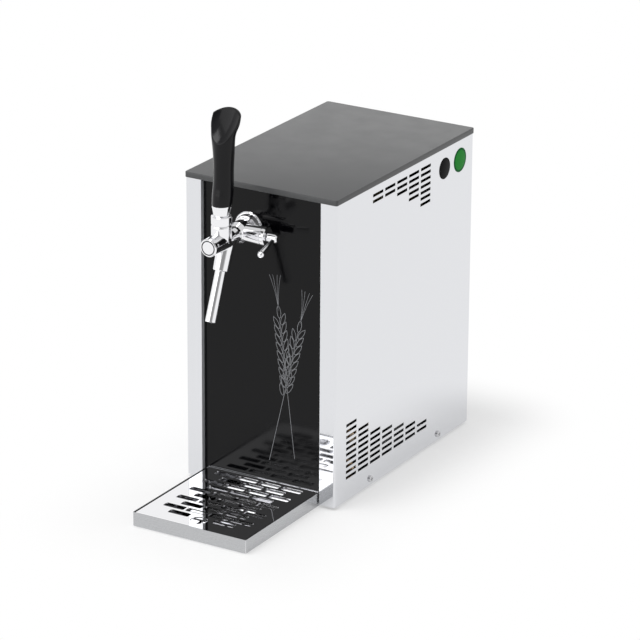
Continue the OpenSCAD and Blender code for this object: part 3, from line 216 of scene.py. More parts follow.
def plated_metal(name, colour, rough=(0.03, 0.08), haze_mm=8, groove=None):
    """Bright nickel-chrome plating: a mirror with slight hazy patches from polishing and handling.

    A groove, given by its middle and two radii about an axis along y, gets painted shade: a darker ring.
    """
    material, tree, place = new_finish(name)
    tint = (*colour, 1)
    if groove:
        middle, inner, outer = groove
        flat = add(tree, "ShaderNodeVectorMath", {0: place, 1: (1, 0, 1)}, operation="MULTIPLY")
        reach = add(tree, "ShaderNodeVectorMath", {0: flat, 1: (middle.x, 0, middle.z)}, operation="DISTANCE")
        ring = add(tree, "ShaderNodeMath", {0: reach.outputs["Value"], 1: (inner + outer) / 2,
                                            2: (outer - inner) / 2}, operation="COMPARE")
        # Painted shade: a darker grey ring in the plate's colour stands in for the shade inside the groove
        dark = add(tree, "ShaderNodeMix", {0: ring, 6: tint, 7: (*linear("#55565a"), 1)}, data_type="RGBA")
        tint = dark.outputs[2]
    haze = add(tree, "ShaderNodeTexNoise", {"Scale": per(haze_mm), "Detail": 3, "Vector": place})
    spread = add(tree, "ShaderNodeMapRange", {"Value": haze, "From Min": 0.35, "From Max": 0.7,
                                              "To Min": rough[0], "To Max": rough[1]})
    shader = add(tree, "ShaderNodeBsdfPrincipled", {"Base Color": tint, "Metallic": 1, "Roughness": spread})
    add(tree, "ShaderNodeOutputMaterial", {"Surface": shader})
    return material


def moulded_plastic(name, code, rough=(0.35, 0.5), grain_mm=0.6, lift=0.15, level=0.5):
    """Moulded plastic: an even colour with the grain of its mould, drawn coarse enough to show."""
    material, tree, place = new_finish(name)
    colour = linear(code) if isinstance(code, str) else tuple(code)
    dark, light = ((*(min(1, c * share) for c in colour), 1) for share in (0.9, 1.1))
    grain = add(tree, "ShaderNodeTexNoise", {"Scale": per(grain_mm), "Detail": 3, "Vector": place})
    patch = add(tree, "ShaderNodeTexNoise", {"Scale": per(25), "Detail": 2, "Vector": place})
    tint = add(tree, "ShaderNodeMix", {0: patch, 6: dark, 7: light}, data_type="RGBA")
    spread = add(tree, "ShaderNodeMapRange", {"Value": patch, "From Min": 0.3, "From Max": 0.7,
                                              "To Min": rough[0], "To Max": rough[1]})
    bump = add(tree, "ShaderNodeBump", {"Strength": lift, "Distance": 0.06 * MM, "Height": grain})
    shader = add(tree, "ShaderNodeBsdfPrincipled", {"Base Color": tint.outputs[2], "Roughness": spread,
                                                    "Specular IOR Level": level, "Normal": bump})
    add(tree, "ShaderNodeOutputMaterial", {"Surface": shader})
    return material


def gloss_sheet(name, colour):
    """Gloss black sheet, back-painted: a deep mirror-smooth black with hardly any ripple."""
    material, tree, place = new_finish(name)
    ripple = add(tree, "ShaderNodeTexNoise", {"Scale": per(45), "Detail": 1, "Vector": place})
    smear = add(tree, "ShaderNodeTexNoise", {"Scale": per(14), "Detail": 3, "Vector": place})
    spread = add(tree, "ShaderNodeMapRange", {"Value": smear, "From Min": 0.4, "From Max": 0.75,
                                              "To Min": 0.09, "To Max": 0.13})
    bump = add(tree, "ShaderNodeBump", {"Strength": 0.02, "Distance": 1 * MM, "Height": ripple})
    shader = add(tree, "ShaderNodeBsdfPrincipled", {"Base Color": (*colour, 1), "Roughness": spread,
                                                    "Specular IOR Level": 0.2, "Normal": bump})
    add(tree, "ShaderNodeOutputMaterial", {"Surface": shader})
    return material


def zinc_sheet(name):
    """Galvanised sheet: grey zinc crystals about 9 mm across that differ a little in shade and gloss."""
    material, tree, place = new_finish(name)
    crystal = add(tree, "ShaderNodeTexVoronoi", {"Scale": per(9), "Randomness": 1, "Vector": place})
    shade = add(tree, "ShaderNodeSeparateColor", {"Color": crystal.outputs["Color"]})
    ramp = add(tree, "ShaderNodeValToRGB", {"Fac": shade})
    ramp.color_ramp.elements[0].color = (*linear("#a7aaad"), 1)
    ramp.color_ramp.elements[1].color = (*linear("#c3c6c9"), 1)
    spread = add(tree, "ShaderNodeMapRange", {"Value": shade.outputs[1], "To Min": 0.28, "To Max": 0.46})
    shader = add(tree, "ShaderNodeBsdfPrincipled", {"Base Color": ramp, "Metallic": 1, "Roughness": spread})
    add(tree, "ShaderNodeOutputMaterial", {"Surface": shader})
    return material


def tarnished_metal(name, bright, dull, rough, patch_mm):
    """Bare drawn or cast metal whose skin has dulled in patches."""
    material, tree, place = new_finish(name)
    patch = add(tree, "ShaderNodeTexNoise", {"Scale": per(patch_mm), "Detail": 5, "Vector": place})
    ramp = add(tree, "ShaderNodeValToRGB", {"Fac": patch})
    ramp.color_ramp.elements[0].position = 0.35
    ramp.color_ramp.elements[0].color = (*linear(dull), 1)
    ramp.color_ramp.elements[1].position = 0.65
    ramp.color_ramp.elements[1].color = (*linear(bright), 1)
    spread = add(tree, "ShaderNodeMapRange", {"Value": patch, "From Min": 0.3, "From Max": 0.7,
                                              "To Min": rough[1], "To Max": rough[0]})
    shader = add(tree, "ShaderNodeBsdfPrincipled", {"Base Color": ramp, "Metallic": 1, "Roughness": spread})
    add(tree, "ShaderNodeOutputMaterial", {"Surface": shader})
    return material


def cell_foam(name):
    """Rigid polyurethane foam: straw-coloured, matt, with a skin of small burst cells."""
    material, tree, place = new_finish(name)
    cell = add(tree, "ShaderNodeTexVoronoi", {"Scale": per(1.6), "Vector": place}).outputs["Distance"]
    ramp = add(tree, "ShaderNodeValToRGB", {"Fac": cell})
    ramp.color_ramp.elements[0].color = (*linear("#cdb877"), 1)
    ramp.color_ramp.elements[1].color = (*linear("#e6d9a8"), 1)
    bump = add(tree, "ShaderNodeBump", {"Strength": 0.4, "Distance": 0.4 * MM, "Height": cell})
    shader = add(tree, "ShaderNodeBsdfPrincipled", {"Base Color": ramp, "Roughness": 0.9, "Normal": bump})
    add(tree, "ShaderNodeOutputMaterial", {"Surface": shader})
    return material


def printed_disc(name, middle, rim, centre, radius):
    """Vinyl sticker: one plain colour with a darker printed rim, slightly glossy."""
    material, tree, place = new_finish(name)
    reach = add(tree, "ShaderNodeVectorMath", {0: place, 1: centre}, operation="DISTANCE")
    edge = add(tree, "ShaderNodeMapRange", {"Value": reach.outputs["Value"], "From Min": radius * 0.80,
                                            "From Max": radius * 0.84})
    tint = add(tree, "ShaderNodeMix", {0: edge, 6: (*middle, 1), 7: (*rim, 1)}, data_type="RGBA")
    shader = add(tree, "ShaderNodeBsdfPrincipled", {"Base Color": tint.outputs[2], "Roughness": 0.3,
                                                    "Specular IOR Level": 0.03})
    add(tree, "ShaderNodeOutputMaterial", {"Surface": shader})
    return material


# Small helpers for modelling

def nothing_selected():
    """Back to object mode with nothing selected."""
    if bpy.context.mode != "OBJECT":
        bpy.ops.object.mode_set(mode="OBJECT")
    bpy.ops.object.select_all(action="DESELECT")


def only(obj):
    """Makes one object the active and the only selected one."""
    nothing_selected()
    bpy.context.view_layer.objects.active = obj
    obj.select_set(True)


def bake():
    """Bakes the place, turn and scale of the selected objects into their meshes."""
    bpy.ops.object.transform_apply(location=True, rotation=True, scale=True)


def edit(obj):
    """Edit mode on one object with nothing selected."""
    only(obj)
    bpy.ops.object.mode_set(mode="EDIT")
    bpy.ops.mesh.select_all(action="DESELECT")


def pick(kind, test):
    """Selects the vertices, edges or faces of the edited mesh that pass a test."""
    bpy.ops.mesh.select_mode(type=kind)
    bpy.ops.mesh.select_all(action="DESELECT")
    mesh = bpy.context.edit_object.data
    shape = bmesh.from_edit_mesh(mesh)
    for element in {"VERT": shape.verts, "EDGE": shape.edges, "FACE": shape.faces}[kind]:
        if test(element):
            element.select_set(True)
    shape.select_flush_mode()
    bmesh.update_edit_mesh(mesh)


def pull(way):
    """Extrudes the selected faces by that much."""
    bpy.ops.mesh.extrude_region_move(TRANSFORM_OT_translate={"value": way})


def apply_modifier(obj, kind, **settings):
    """Adds a modifier, sets it and applies it."""
    only(obj)
    modifier = obj.modifiers.new(kind, kind)
    for name, value in settings.items():
        setattr(modifier, name, value)
    bpy.ops.object.modifier_apply(modifier=modifier.name)


def settle(obj, name, body, material, angle=35):
    """Bakes a finished piece's place into its mesh, shades, paints and hangs it on its body."""
    only(obj)
    bake()
    bpy.ops.object.shade_smooth_by_angle(angle=math.radians(angle))
    obj.name = name
    obj.data.name = name
    obj.data.materials.clear()
    obj.data.materials.append(material)
    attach(obj, body)
    nothing_selected()
    return obj


def joined(objs):
    """Joins objects into the first one."""
    only(objs[0])
    for obj in objs:
        obj.select_set(True)
    bpy.ops.object.join()
    return bpy.context.view_layer.objects.active


def copy_of(obj, turn=(0, 0, 0), move=(0, 0, 0)):
    """A copy with its own mesh, turned about the origin and moved."""
    only(obj)
    bpy.ops.object.duplicate(linked=False)
    twin = bpy.context.view_layer.objects.active
    twin.rotation_euler = turn
    twin.location = move
    bake()
    return twin


def cut(obj, cutter, operation="DIFFERENCE"):
    """Cuts an object by another and deletes the cutter."""
    apply_modifier(obj, "BOOLEAN", operation=operation, object=cutter, solver="EXACT")
    bpy.data.objects.remove(cutter)


def between(keys, values, t):
    """A smooth value at t through the keyed values."""
    i = max(j for j in range(len(keys) - 1) if keys[j] <= t or j == 0)
    span = keys[i + 1] - keys[i]
    u = (t - keys[i]) / span

    def slope(j):
        if j == 0 or j == len(keys) - 1:
            k = min(j, len(keys) - 2)
            return (values[k + 1] - values[k]) / (keys[k + 1] - keys[k])
        return (values[j + 1] - values[j - 1]) / (keys[j + 1] - keys[j - 1])

    a, b, p, q = values[i], values[i + 1], slope(i) * span, slope(i + 1) * span
    return ((2 * u**3 - 3 * u**2 + 1) * a + (u**3 - 2 * u**2 + u) * p
            + (3 * u**2 - 2 * u**3) * b + (u**3 - u**2) * q)


# Stage

class COOLER_OT_stage(bpy.types.Operator):
    """Floor, soft studio light, white surroundings and the camera"""
    bl_idname = "cooler.stage"
    bl_label = "Stage and camera"

    # Direction in which the studio is dimmer in mirrors, and the point at which the lamps look
    dim_side = (0.49, -0.83, 0.26)
    middle = (0, 0, 0.18)
    # Camera: turn, lift and roll in degrees, place in metres, lens and sensor in millimetres
    angles = (30.65, 20.53, 0.37)
    stand = (1.8452, -3.0737, 1.5077)
    lens, sensor = 209.5, 36

    def execute(self, context):
        nothing_selected()
        bpy.ops.mesh.primitive_plane_add(size=60, location=(0, 0, 0))
        floor = context.active_object
        floor.name = "studio_floor"
        floor.data.materials.append(self.floor_paper())
        self.surroundings(context)
        self.lamp("front_softbox", (-1.5, -2.6, 1.4), power=36, size=3.4)
        self.lamp("top_softbox", (-0.5, -0.7, 2.6), power=17, size=1.1)
        self.camera(context)
        context.scene.view_settings.view_transform = "Standard"
        return {"FINISHED"}

    @staticmethod
    def seen(tree):
        """1 for rays from the eye, from a mirror or through glass, and 0 for those that only light."""
        path = add(tree, "ShaderNodeLightPath").outputs
        first = add(tree, "ShaderNodeMath", {0: path["Is Camera Ray"], 1: path["Is Glossy Ray"]},
                    operation="MAXIMUM")
        return add(tree, "ShaderNodeMath", {0: first, 1: path["Is Transmission Ray"]}, operation="MAXIMUM")

    def surroundings(self, context):
        """White to the eye, dimmer above and behind the camera in mirrors, and an even soft light."""
        world = bpy.data.worlds.new("studio")
        context.scene.world = world
        world.use_nodes = True
        tree = world.node_tree
        tree.nodes.clear()
        path = add(tree, "ShaderNodeLightPath").outputs
        aim = add(tree, "ShaderNodeTexCoord").outputs["Object"]
        near = add(tree, "ShaderNodeVectorMath", {0: aim, 1: self.dim_side}, operation="DOT_PRODUCT")
        wall = add(tree, "ShaderNodeMapRange", {"Value": near.outputs["Value"], "From Min": 0.8,
                                                "From Max": 0.96, "To Min": 1, "To Max": 0.3})
        split = add(tree, "ShaderNodeSeparateXYZ", {0: aim})
        roof = add(tree, "ShaderNodeMapRange", {"Value": split.outputs["Z"], "From Min": 0.38,
                                                "From Max": 0.6, "To Min": 1, "To Max": 0.72})
        dim = add(tree, "ShaderNodeMath", {0: wall, 1: roof}, operation="MULTIPLY")
        tone = add(tree, "ShaderNodeMath", {0: dim, 1: path["Is Camera Ray"]}, operation="MAXIMUM")
        soft = add(tree, "ShaderNodeBackground", {"Color": WHITE, "Strength": 0.62})
        white = add(tree, "ShaderNodeBackground", {"Color": WHITE, "Strength": tone})
        mix = add(tree, "ShaderNodeMixShader", {0: self.seen(tree), 1: soft, 2: white})
        add(tree, "ShaderNodeOutputWorld", {"Surface": mix})

    def floor_paper(self):
        """White paper that keeps the soft shadow near the object and runs out to plain white."""
        shade, lift, shadow_reach = 0.6, 0.42, 0.12
        material, tree, place = new_finish("studio_paper")
        seen = self.seen(tree)
        wide = add(tree, "ShaderNodeVectorMath", {0: place}, operation="ABSOLUTE")
        past = add(tree, "ShaderNodeVectorMath", {0: wide, 1: (cad_high.x, cad_high.y, 0)},
                   operation="SUBTRACT")
        out = add(tree, "ShaderNodeVectorMath", {0: past, 1: (0, 0, 0)}, operation="MAXIMUM")
        far = add(tree, "ShaderNodeVectorMath", {0: out}, operation="LENGTH")
        fade = add(tree, "ShaderNodeMapRange", {"Value": far.outputs["Value"], "From Min": 0,
                                                "From Max": shadow_reach}, interpolation_type="SMOOTHSTEP")
        share = add(tree, "ShaderNodeMath", {0: fade, 1: seen}, operation="MULTIPLY")
        lifted = add(tree, "ShaderNodeMath", {0: seen, 1: lift}, operation="MULTIPLY")
        paper = add(tree, "ShaderNodeBsdfDiffuse", {"Color": (shade, shade, shade, 1)})
        glow = add(tree, "ShaderNodeEmission", {"Color": WHITE, "Strength": lifted})
        near = add(tree, "ShaderNodeAddShader", {0: paper, 1: glow})
        white = add(tree, "ShaderNodeEmission", {"Color": WHITE, "Strength": 1})
        mix = add(tree, "ShaderNodeMixShader", {0: share, 1: near, 2: white})
        add(tree, "ShaderNodeOutputMaterial", {"Surface": mix})
        return material

    def lamp(self, name, place, power, size):
        """A square softbox that looks at the middle of the object."""
        bpy.ops.object.light_add(type="AREA", location=place)
        lamp = bpy.context.active_object
        lamp.name = name
        lamp.data.energy = power
        lamp.data.size = size
        aim = Vector(self.middle) - Vector(place)
        lamp.rotation_euler = aim.to_track_quat("-Z", "Y").to_euler()

    def camera(self, context):
        """The camera at the photo's angle."""
        bpy.ops.object.camera_add()
        camera = context.active_object
        camera.name = "photo_camera"
        camera.data.sensor_width = self.sensor
        camera.data.lens = self.lens
        camera.data.clip_start, camera.data.clip_end = 0.1, 100
        turn, lift, roll = (math.radians(a) for a in self.angles)
        back = Vector((math.sin(turn) * math.cos(lift), -math.cos(turn) * math.cos(lift), math.sin(lift)))
        level = Vector((math.cos(turn), math.sin(turn), 0))
        up = back.cross(level)
        right = math.cos(roll) * level + math.sin(roll) * up
        top = -math.sin(roll) * level + math.cos(roll) * up
        pose = Matrix((right, top, back)).transposed().to_4x4()
        pose.translation = self.stand
        camera.matrix_world = pose
        context.scene.camera = camera


# Casing

class COOLER_OT_casing(bpy.types.Operator):
    """Finishes of the casing's sheets, front and feet"""
    bl_idname = "cooler.casing"
    bl_label = "Casing"

    def execute(self, context):
        colours = context.scene.cooler_colours
        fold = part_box("right_side_panel")[0].x
        paint(["left_side_panel", "right_side_panel"],
              polished_sheet("polished_stainless", colours.steel, cut_at=fold))
        paint(["front_panel"], gloss_sheet("gloss_black_sheet", colours.front))
        paint(["back_panel", "base_pan", "front_bulkhead", "lid_rails", "shelf", "fan_bracket", "fan_shroud"],
              zinc_sheet("galvanised_sheet"))
        # Moulded rubber: near black and matt, with a coarse grain
        paint(["rubber_feet", "tray_pads", "compressor_grommets", "plunger_seal"],
              moulded_plastic("nitrile_rubber", "#1d1d1d", rough=(0.7, 0.85), grain_mm=1, lift=0.3,
                              level=0.3))
        return {"FINISHED"}


class COOLER_OT_lid(bpy.types.Operator):
    """The lid with rounded corners and a softened edge"""
    bl_idname = "cooler.lid"
    bl_label = "Lid"

    def execute(self, context):
        sizes = context.scene.cooler_sizes
        low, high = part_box("lid")
        nothing_selected()
        bpy.ops.mesh.primitive_cube_add(size=1, location=(low + high) / 2)
        lid = context.active_object
        lid.scale = high - low
        bake()
        edit(lid)
        pick("EDGE", lambda e: abs(e.verts[0].co.z - e.verts[1].co.z) > 1 * MM)
        bpy.ops.mesh.bevel(offset=sizes.lid_corner, segments=8)
        pick("EDGE", lambda e: len(e.link_faces) == 2
             and abs(e.link_faces[0].normal.z - e.link_faces[1].normal.z) > 0.9)
        bpy.ops.mesh.bevel(offset=sizes.lid_edge, segments=3)
        # Laminated board: dark grey, satin and nearly smooth
        finish = moulded_plastic("satin_black_board", context.scene.cooler_colours.lid, rough=(0.3, 0.36),
                                 grain_mm=0.5, lift=0.06)
        settle(lid, "lid_dressed", "cabinet", finish)
        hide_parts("lid")
        return {"FINISHED"}


class COOLER_OT_screws(bpy.types.Operator):
    """Pan-head screws with a cross recess"""
    bl_idname = "cooler.screws"
    bl_label = "Casing screws"

    def execute(self, context):
        screw = self.screw(context.scene.cooler_sizes.screw_head)
        low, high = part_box("right_side_panel")
        side_z, end_z, lid_z = low.z + 7 * MM, 30 * MM, high.z - 5.5 * MM
        back_x, lid_x = high.x - 7 * MM, high.x - 6 * MM
        copies = []
        # Two low on each side, three up each edge of the back, and two from below into the lid
        for side in (-1, 1):
            for share in (0.257, 0.765):
                place = (side * high.x, low.y + share * (high.y - low.y), side_z)
                copies.append(copy_of(screw, (0, side * QUARTER, 0), place))
            for z in (low.z + end_z, (low.z + high.z) / 2, high.z - end_z):
                copies.append(copy_of(screw, (-QUARTER, 0, 0), (side * back_x, high.y, z)))
            for y in (low.y + 33.5 * MM, high.y - 34 * MM):
                copies.append(copy_of(screw, (math.pi, 0, 0), (side * lid_x, y, lid_z)))
        bpy.data.objects.remove(screw)
        group = joined(copies)
        # Nickel plate: a softer shine than the tap's chrome
        finish = plated_metal("nickel_plated_screw", linear("#d3d3d5"), rough=(0.1, 0.22), haze_mm=3)
        settle(group, "casing_screws_dressed", "cabinet", finish, angle=30)
        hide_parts("casing_screws")
        return {"FINISHED"}

    @staticmethod
    def screw(head):
        """One screw that points down, with its seat at the origin."""
        tall, shank, long, taper = 2 * MM, 2 * MM, 5.2 * MM, 0.7
        recess = (4.2 * MM, 0.9 * MM, 1.8 * MM)
        nothing_selected()
        bpy.ops.mesh.primitive_cylinder_add(vertices=32, radius=head, depth=tall, location=(0, 0, tall / 2))
        screw = bpy.context.active_object
        bake()
        edit(screw)
        pick("FACE", lambda f: f.normal.z > 0.9)
        bpy.ops.mesh.bevel(offset=0.9 * MM, segments=4)
        pick("FACE", lambda f: f.normal.z < -0.9)
        bpy.ops.mesh.inset(thickness=head - shank)
        pull((0, 0, -long))
        bpy.ops.transform.resize(value=(taper, taper, 1))
        for turn in (0, QUARTER):
            nothing_selected()
            bpy.ops.mesh.primitive_cube_add(size=1, location=(0, 0, tall), rotation=(0, 0, turn))
            arm = bpy.context.active_object
            arm.scale = recess
            bake()
            cut(screw, arm)
        return screw


class COOLER_OT_discs(bpy.types.Operator):
    """Two plain round stickers high on the right side"""
    bl_idname = "cooler.discs"
    bl_label = "Side discs"

    def execute(self, context):
        sizes, colours = context.scene.cooler_sizes, context.scene.cooler_colours
        thick = sizes.disc_thick
        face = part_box("right_side_panel")[1].x
        plain = ((0.1416, 0.3048, sizes.disc_small, linear("#0d0d0e"), linear("#060607"), "black_disc"),
                 (0.1745, 0.3049, sizes.disc_large, tuple(colours.green), linear("#156b33"), "green_disc"))
        for y, z, radius, middle, rim, name in plain:
            nothing_selected()
            bpy.ops.mesh.primitive_cylinder_add(vertices=72, radius=radius, depth=thick,
                                                location=(face + thick / 2, y, z), rotation=(0, QUARTER, 0))
            disc = context.active_object
            bake()
            edit(disc)
            pick("FACE", lambda f: f.normal.x > 0.9)
            bpy.ops.mesh.inset(thickness=thick)
            bpy.ops.transform.translate(value=(thick / 4, 0, 0))
            finish = printed_disc("vinyl_" + name, middle, rim, (face + thick, y, z), radius)
            settle(disc, name, "cabinet", finish)
        return {"FINISHED"}


class COOLER_OT_front_print(bpy.types.Operator):
    """Two ears of barley printed in thin lines on the front"""
    bl_idname = "cooler.front_print"
    bl_label = "Front print"

    def execute(self, context):
        sizes = context.scene.cooler_sizes
        pen, thick = sizes.print_line, 0.06 * MM
        ear = self.ear(pen, sizes.grain_pairs)
        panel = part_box("front_panel")
        face, foot = panel[0].y, panel[0].z
        # Lean in degrees, and place across the panel and above its foot in millimetres
        ears = [copy_of(ear, (0, math.radians(lean), 0), (x * MM, 0, foot + z * MM))
                for lean, x, z in ((-7, 38, 42), (13, 8, 34))]
        bpy.data.objects.remove(ear)
        pair = joined(ears)
        apply_modifier(pair, "SOLIDIFY", thickness=thick, offset=1)
        pair.location = (0, face - max(v.co.y for v in pair.data.vertices), 0)
        # Screen-print ink: grey, satin and nearly smooth
        finish = moulded_plastic("screen_print_ink", context.scene.cooler_colours.line, rough=(0.3, 0.4),
                                 grain_mm=1.5, lift=0.02)
        settle(pair, "front_print", "cabinet", finish)
        return {"FINISHED"}

    def ear(self, pen, pairs):
        """One upright ear: a stalk, pairs of grains, a last grain and four awns."""
        pitch, first = 9 * MM, 78 * MM
        spread, out, step = math.radians(24), 1.4 * MM, 2 * MM
        awn_low, awn_high, awn_pen = 4 * MM, 46 * MM, pen * 0.7
        grain = self.grain(13 * MM, 4.8 * MM, pen)
        lines = []
        for i in range(pairs):
            z = first + i * pitch
            for side in (-1, 1):
                lines.append(copy_of(grain, (0, side * spread, 0), (side * out, 0, z + side * step)))
        top = first + pairs * pitch
        lines.append(copy_of(grain, (0, 0, 0), (0, 0, top)))
        lines.append(self.arc(0, top, 0, pen))
        for lean in (-9, -3.5, 3.5, 9):
            lines.append(self.arc(top + awn_low, top + awn_high, lean, awn_pen))
        bpy.data.objects.remove(grain)
        return joined(lines)

    @staticmethod
    def grain(long, wide, pen):
        """The outline of one grain, foot at the origin and tip upwards, in the plane of the front."""
        tip, narrow, drawn = 0.42 * long, 0.45, 0.1 * long
        nothing_selected()
        bpy.ops.mesh.primitive_circle_add(vertices=28, radius=0.5, fill_type="NGON", rotation=(QUARTER, 0, 0))
        grain = bpy.context.active_object
        grain.scale = (wide, long, 1)
        bake()
        edit(grain)
        pick("VERT", lambda v: v.co.z > tip)
        bpy.ops.transform.resize(value=(narrow, 1, 1))
        bpy.ops.transform.translate(value=(0, 0, drawn))
        bpy.ops.mesh.select_all(action="SELECT")
        bpy.ops.transform.translate(value=(0, 0, long / 2))
        pick("FACE", lambda f: True)
        bpy.ops.mesh.inset(thickness=pen)
        bpy.ops.mesh.delete(type="FACE")
        nothing_selected()
        return grain

    @staticmethod
    def arc(low, high, lean, pen):
        """A thin line from low to high that bends sideways by so many degrees."""
        nothing_selected()
        bpy.ops.mesh.primitive_plane_add(size=1, location=(0, 0, (low + high) / 2), rotation=(QUARTER, 0, 0))
        line = bpy.context.active_object
        line.scale = (pen, high - low, 1)
        bake()
        edit(line)
        pick("EDGE", lambda e: abs(e.verts[0].co.z - e.verts[1].co.z) > pen)
        bpy.ops.mesh.subdivide(number_cuts=14)
        shape = bmesh.from_edit_mesh(line.data)
        for v in shape.verts:
            share = (v.co.z - low) / (high - low)
            v.co.x += math.tan(math.radians(lean)) * (high - low) * share**2
        bmesh.update_edit_mesh(line.data)
        nothing_selected()
        return line


# Tap

class COOLER_OT_tap(bpy.types.Operator):
    """Finishes of the plated tap and its inner pieces"""
    bl_idname = "cooler.tap"
    bl_label = "Tap"

    def execute(self, context):
        chrome = context.scene.cooler_colours.chrome
        paint(["tap_rosette", "tap_shank", "coupling_nut", "compensator_body", "gland_nut", "tap_body",
               "spout_collar", "spout", "tap_lever", "handle_ferrule", "compensator_lever"],
              plated_metal("bright_chrome_plate", chrome))
        # The front cap's plate gets a painted shade ring at its groove
        low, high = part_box("front_cap")
        radius = (high.x - low.x) / 2
        paint(["front_cap"], plated_metal("chrome_plate_painted_groove_shade", chrome,
                                          groove=((low + high) / 2, 0.69 * radius, 0.82 * radius)))
        # Turned stainless: satin, with the fine marks of the tool
        paint(["lever_pin", "shank_nut", "compensator_spindle", "plunger"],
              brushed_sheet("turned_stainless", linear("#c4c5c7"), along="x", rough=(0.15, 0.3)))
        # Moulded acetal: milky white and smooth
        paint(["compensator_cone"], moulded_plastic("white_acetal", "#dedddb", rough=(0.3, 0.4), lift=0.05))
        return {"FINISHED"}


class COOLER_OT_handle(bpy.types.Operator):
    """The tap handle: a round grip that widens into a leaning head with a scooped front"""
    bl_idname = "cooler.handle"
    bl_label = "Tap handle"

    # Shares of the length, and at each the share of the head's width, of the foot's depth and of the lean
    shares = (0, 0.1, 0.2, 0.36, 0.54, 0.73, 0.84, 1.01)
    across = (-0.04, 0.04, 0, -0.06, 0.13, 0.45, 1, 0.92)
    deep = (0.98, 1.02, 1.03, 1.02, 1, 1.03, 0.98, 0.75)
    back = (0.1, 0.25, 0.4, 0.46, 0.48, 0.43, 0.81, 1.45)

    def execute(self, context):
        sizes = context.scene.cooler_sizes
        low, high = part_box("handle_ferrule")
        base = Vector(((low.x + high.x) / 2, (low.y + high.y) / 2, high.z))
        grip = self.grip(sizes, base)
        cut(grip, self.crown(sizes, base), "INTERSECT")
        cut(grip, self.scoop(sizes, base))
        apply_modifier(grip, "REMESH", mode="VOXEL", voxel_size=sizes.handle_grid)
        apply_modifier(grip, "SMOOTH", factor=0.5, iterations=20)
        # Moulded ABS: black with a soft shine and little grain
        finish = moulded_plastic("satin_black_abs", context.scene.cooler_colours.handle, rough=(0.14, 0.2),
                                 grain_mm=0.8, lift=0.03, level=0.24)
        settle(grip, "tap_handle_dressed", "lever", finish, angle=180)
        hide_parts("tap_handle")
        return {"FINISHED"}

    def grip(self, sizes, base):
        """The grip and head before they are cut, drawn up ring by ring."""
        foot, head, lean, tall = sizes.handle_foot, sizes.handle_head, sizes.handle_lean, sizes.handle_long

        def station(t):
            return (foot + (head - foot) * between(self.shares, self.across, t),
                    foot * between(self.shares, self.deep, t), lean * between(self.shares, self.back, t))

        nothing_selected()
        bpy.ops.mesh.primitive_circle_add(vertices=64, radius=foot, fill_type="NGON",
                                          location=base + Vector((0, lean * self.back[0], 0)))
        grip = bpy.context.active_object
        bake()
        edit(grip)
        bpy.ops.mesh.select_all(action="SELECT")
        steps = 28
        before, at = station(0), 0
        for i in range(1, steps + 1):
            t = self.shares[-1] * i / steps
            now = station(t)
            pull((0, now[2] - before[2], (t - at) * tall))
            bpy.ops.transform.resize(value=(now[0] / before[0], now[1] / before[1], 1),
                                     center_override=base + Vector((0, now[2], t * tall)))
            before, at = now, t
        bpy.ops.mesh.select_all(action="SELECT")
        bpy.ops.mesh.normals_make_consistent(inside=False)
        nothing_selected()
        return grip

    @staticmethod
    def crown(sizes, base):
        """The room under the round crown, which falls a little to the back."""
        radius, tilt, long = sizes.handle_head + 7.4 * MM, math.radians(8), 0.2
        centre = Vector((0, -radius * math.sin(tilt), sizes.handle_long - radius * math.cos(tilt)))
        bpy.ops.mesh.primitive_cylinder_add(vertices=160, radius=radius, depth=long, location=base + centre,
                                            rotation=(QUARTER - tilt, 0, 0))
        dome = bpy.context.active_object
        bake()
        edit(dome)
        pick("FACE", lambda f: f.normal.z < -0.02)
        pull((0, 0, -long))
        nothing_selected()
        return dome

    @staticmethod
    def scoop(sizes, base):
        """A ring whose outside hollows the front of the head from low down to the crown."""
        radius, groove = sizes.handle_head * 5.75, 29 * MM
        start = Vector((-0.72 * sizes.handle_foot, 0.65 * sizes.handle_long))
        run = Vector((1.94 * sizes.handle_lean, sizes.handle_long)) - start
        out = Vector((-run[1], run[0])).normalized() * math.sqrt(radius**2 - run.length_squared / 4)
        middle = start + run / 2 + out
        bpy.ops.mesh.primitive_torus_add(major_segments=256, minor_segments=64, major_radius=radius - groove,
                                         minor_radius=groove, rotation=(0, QUARTER, 0),
                                         location=base + Vector((0, middle[0], middle[1])))
        scoop = bpy.context.active_object
        bake()
        nothing_selected()
        return scoop


# Drip tray

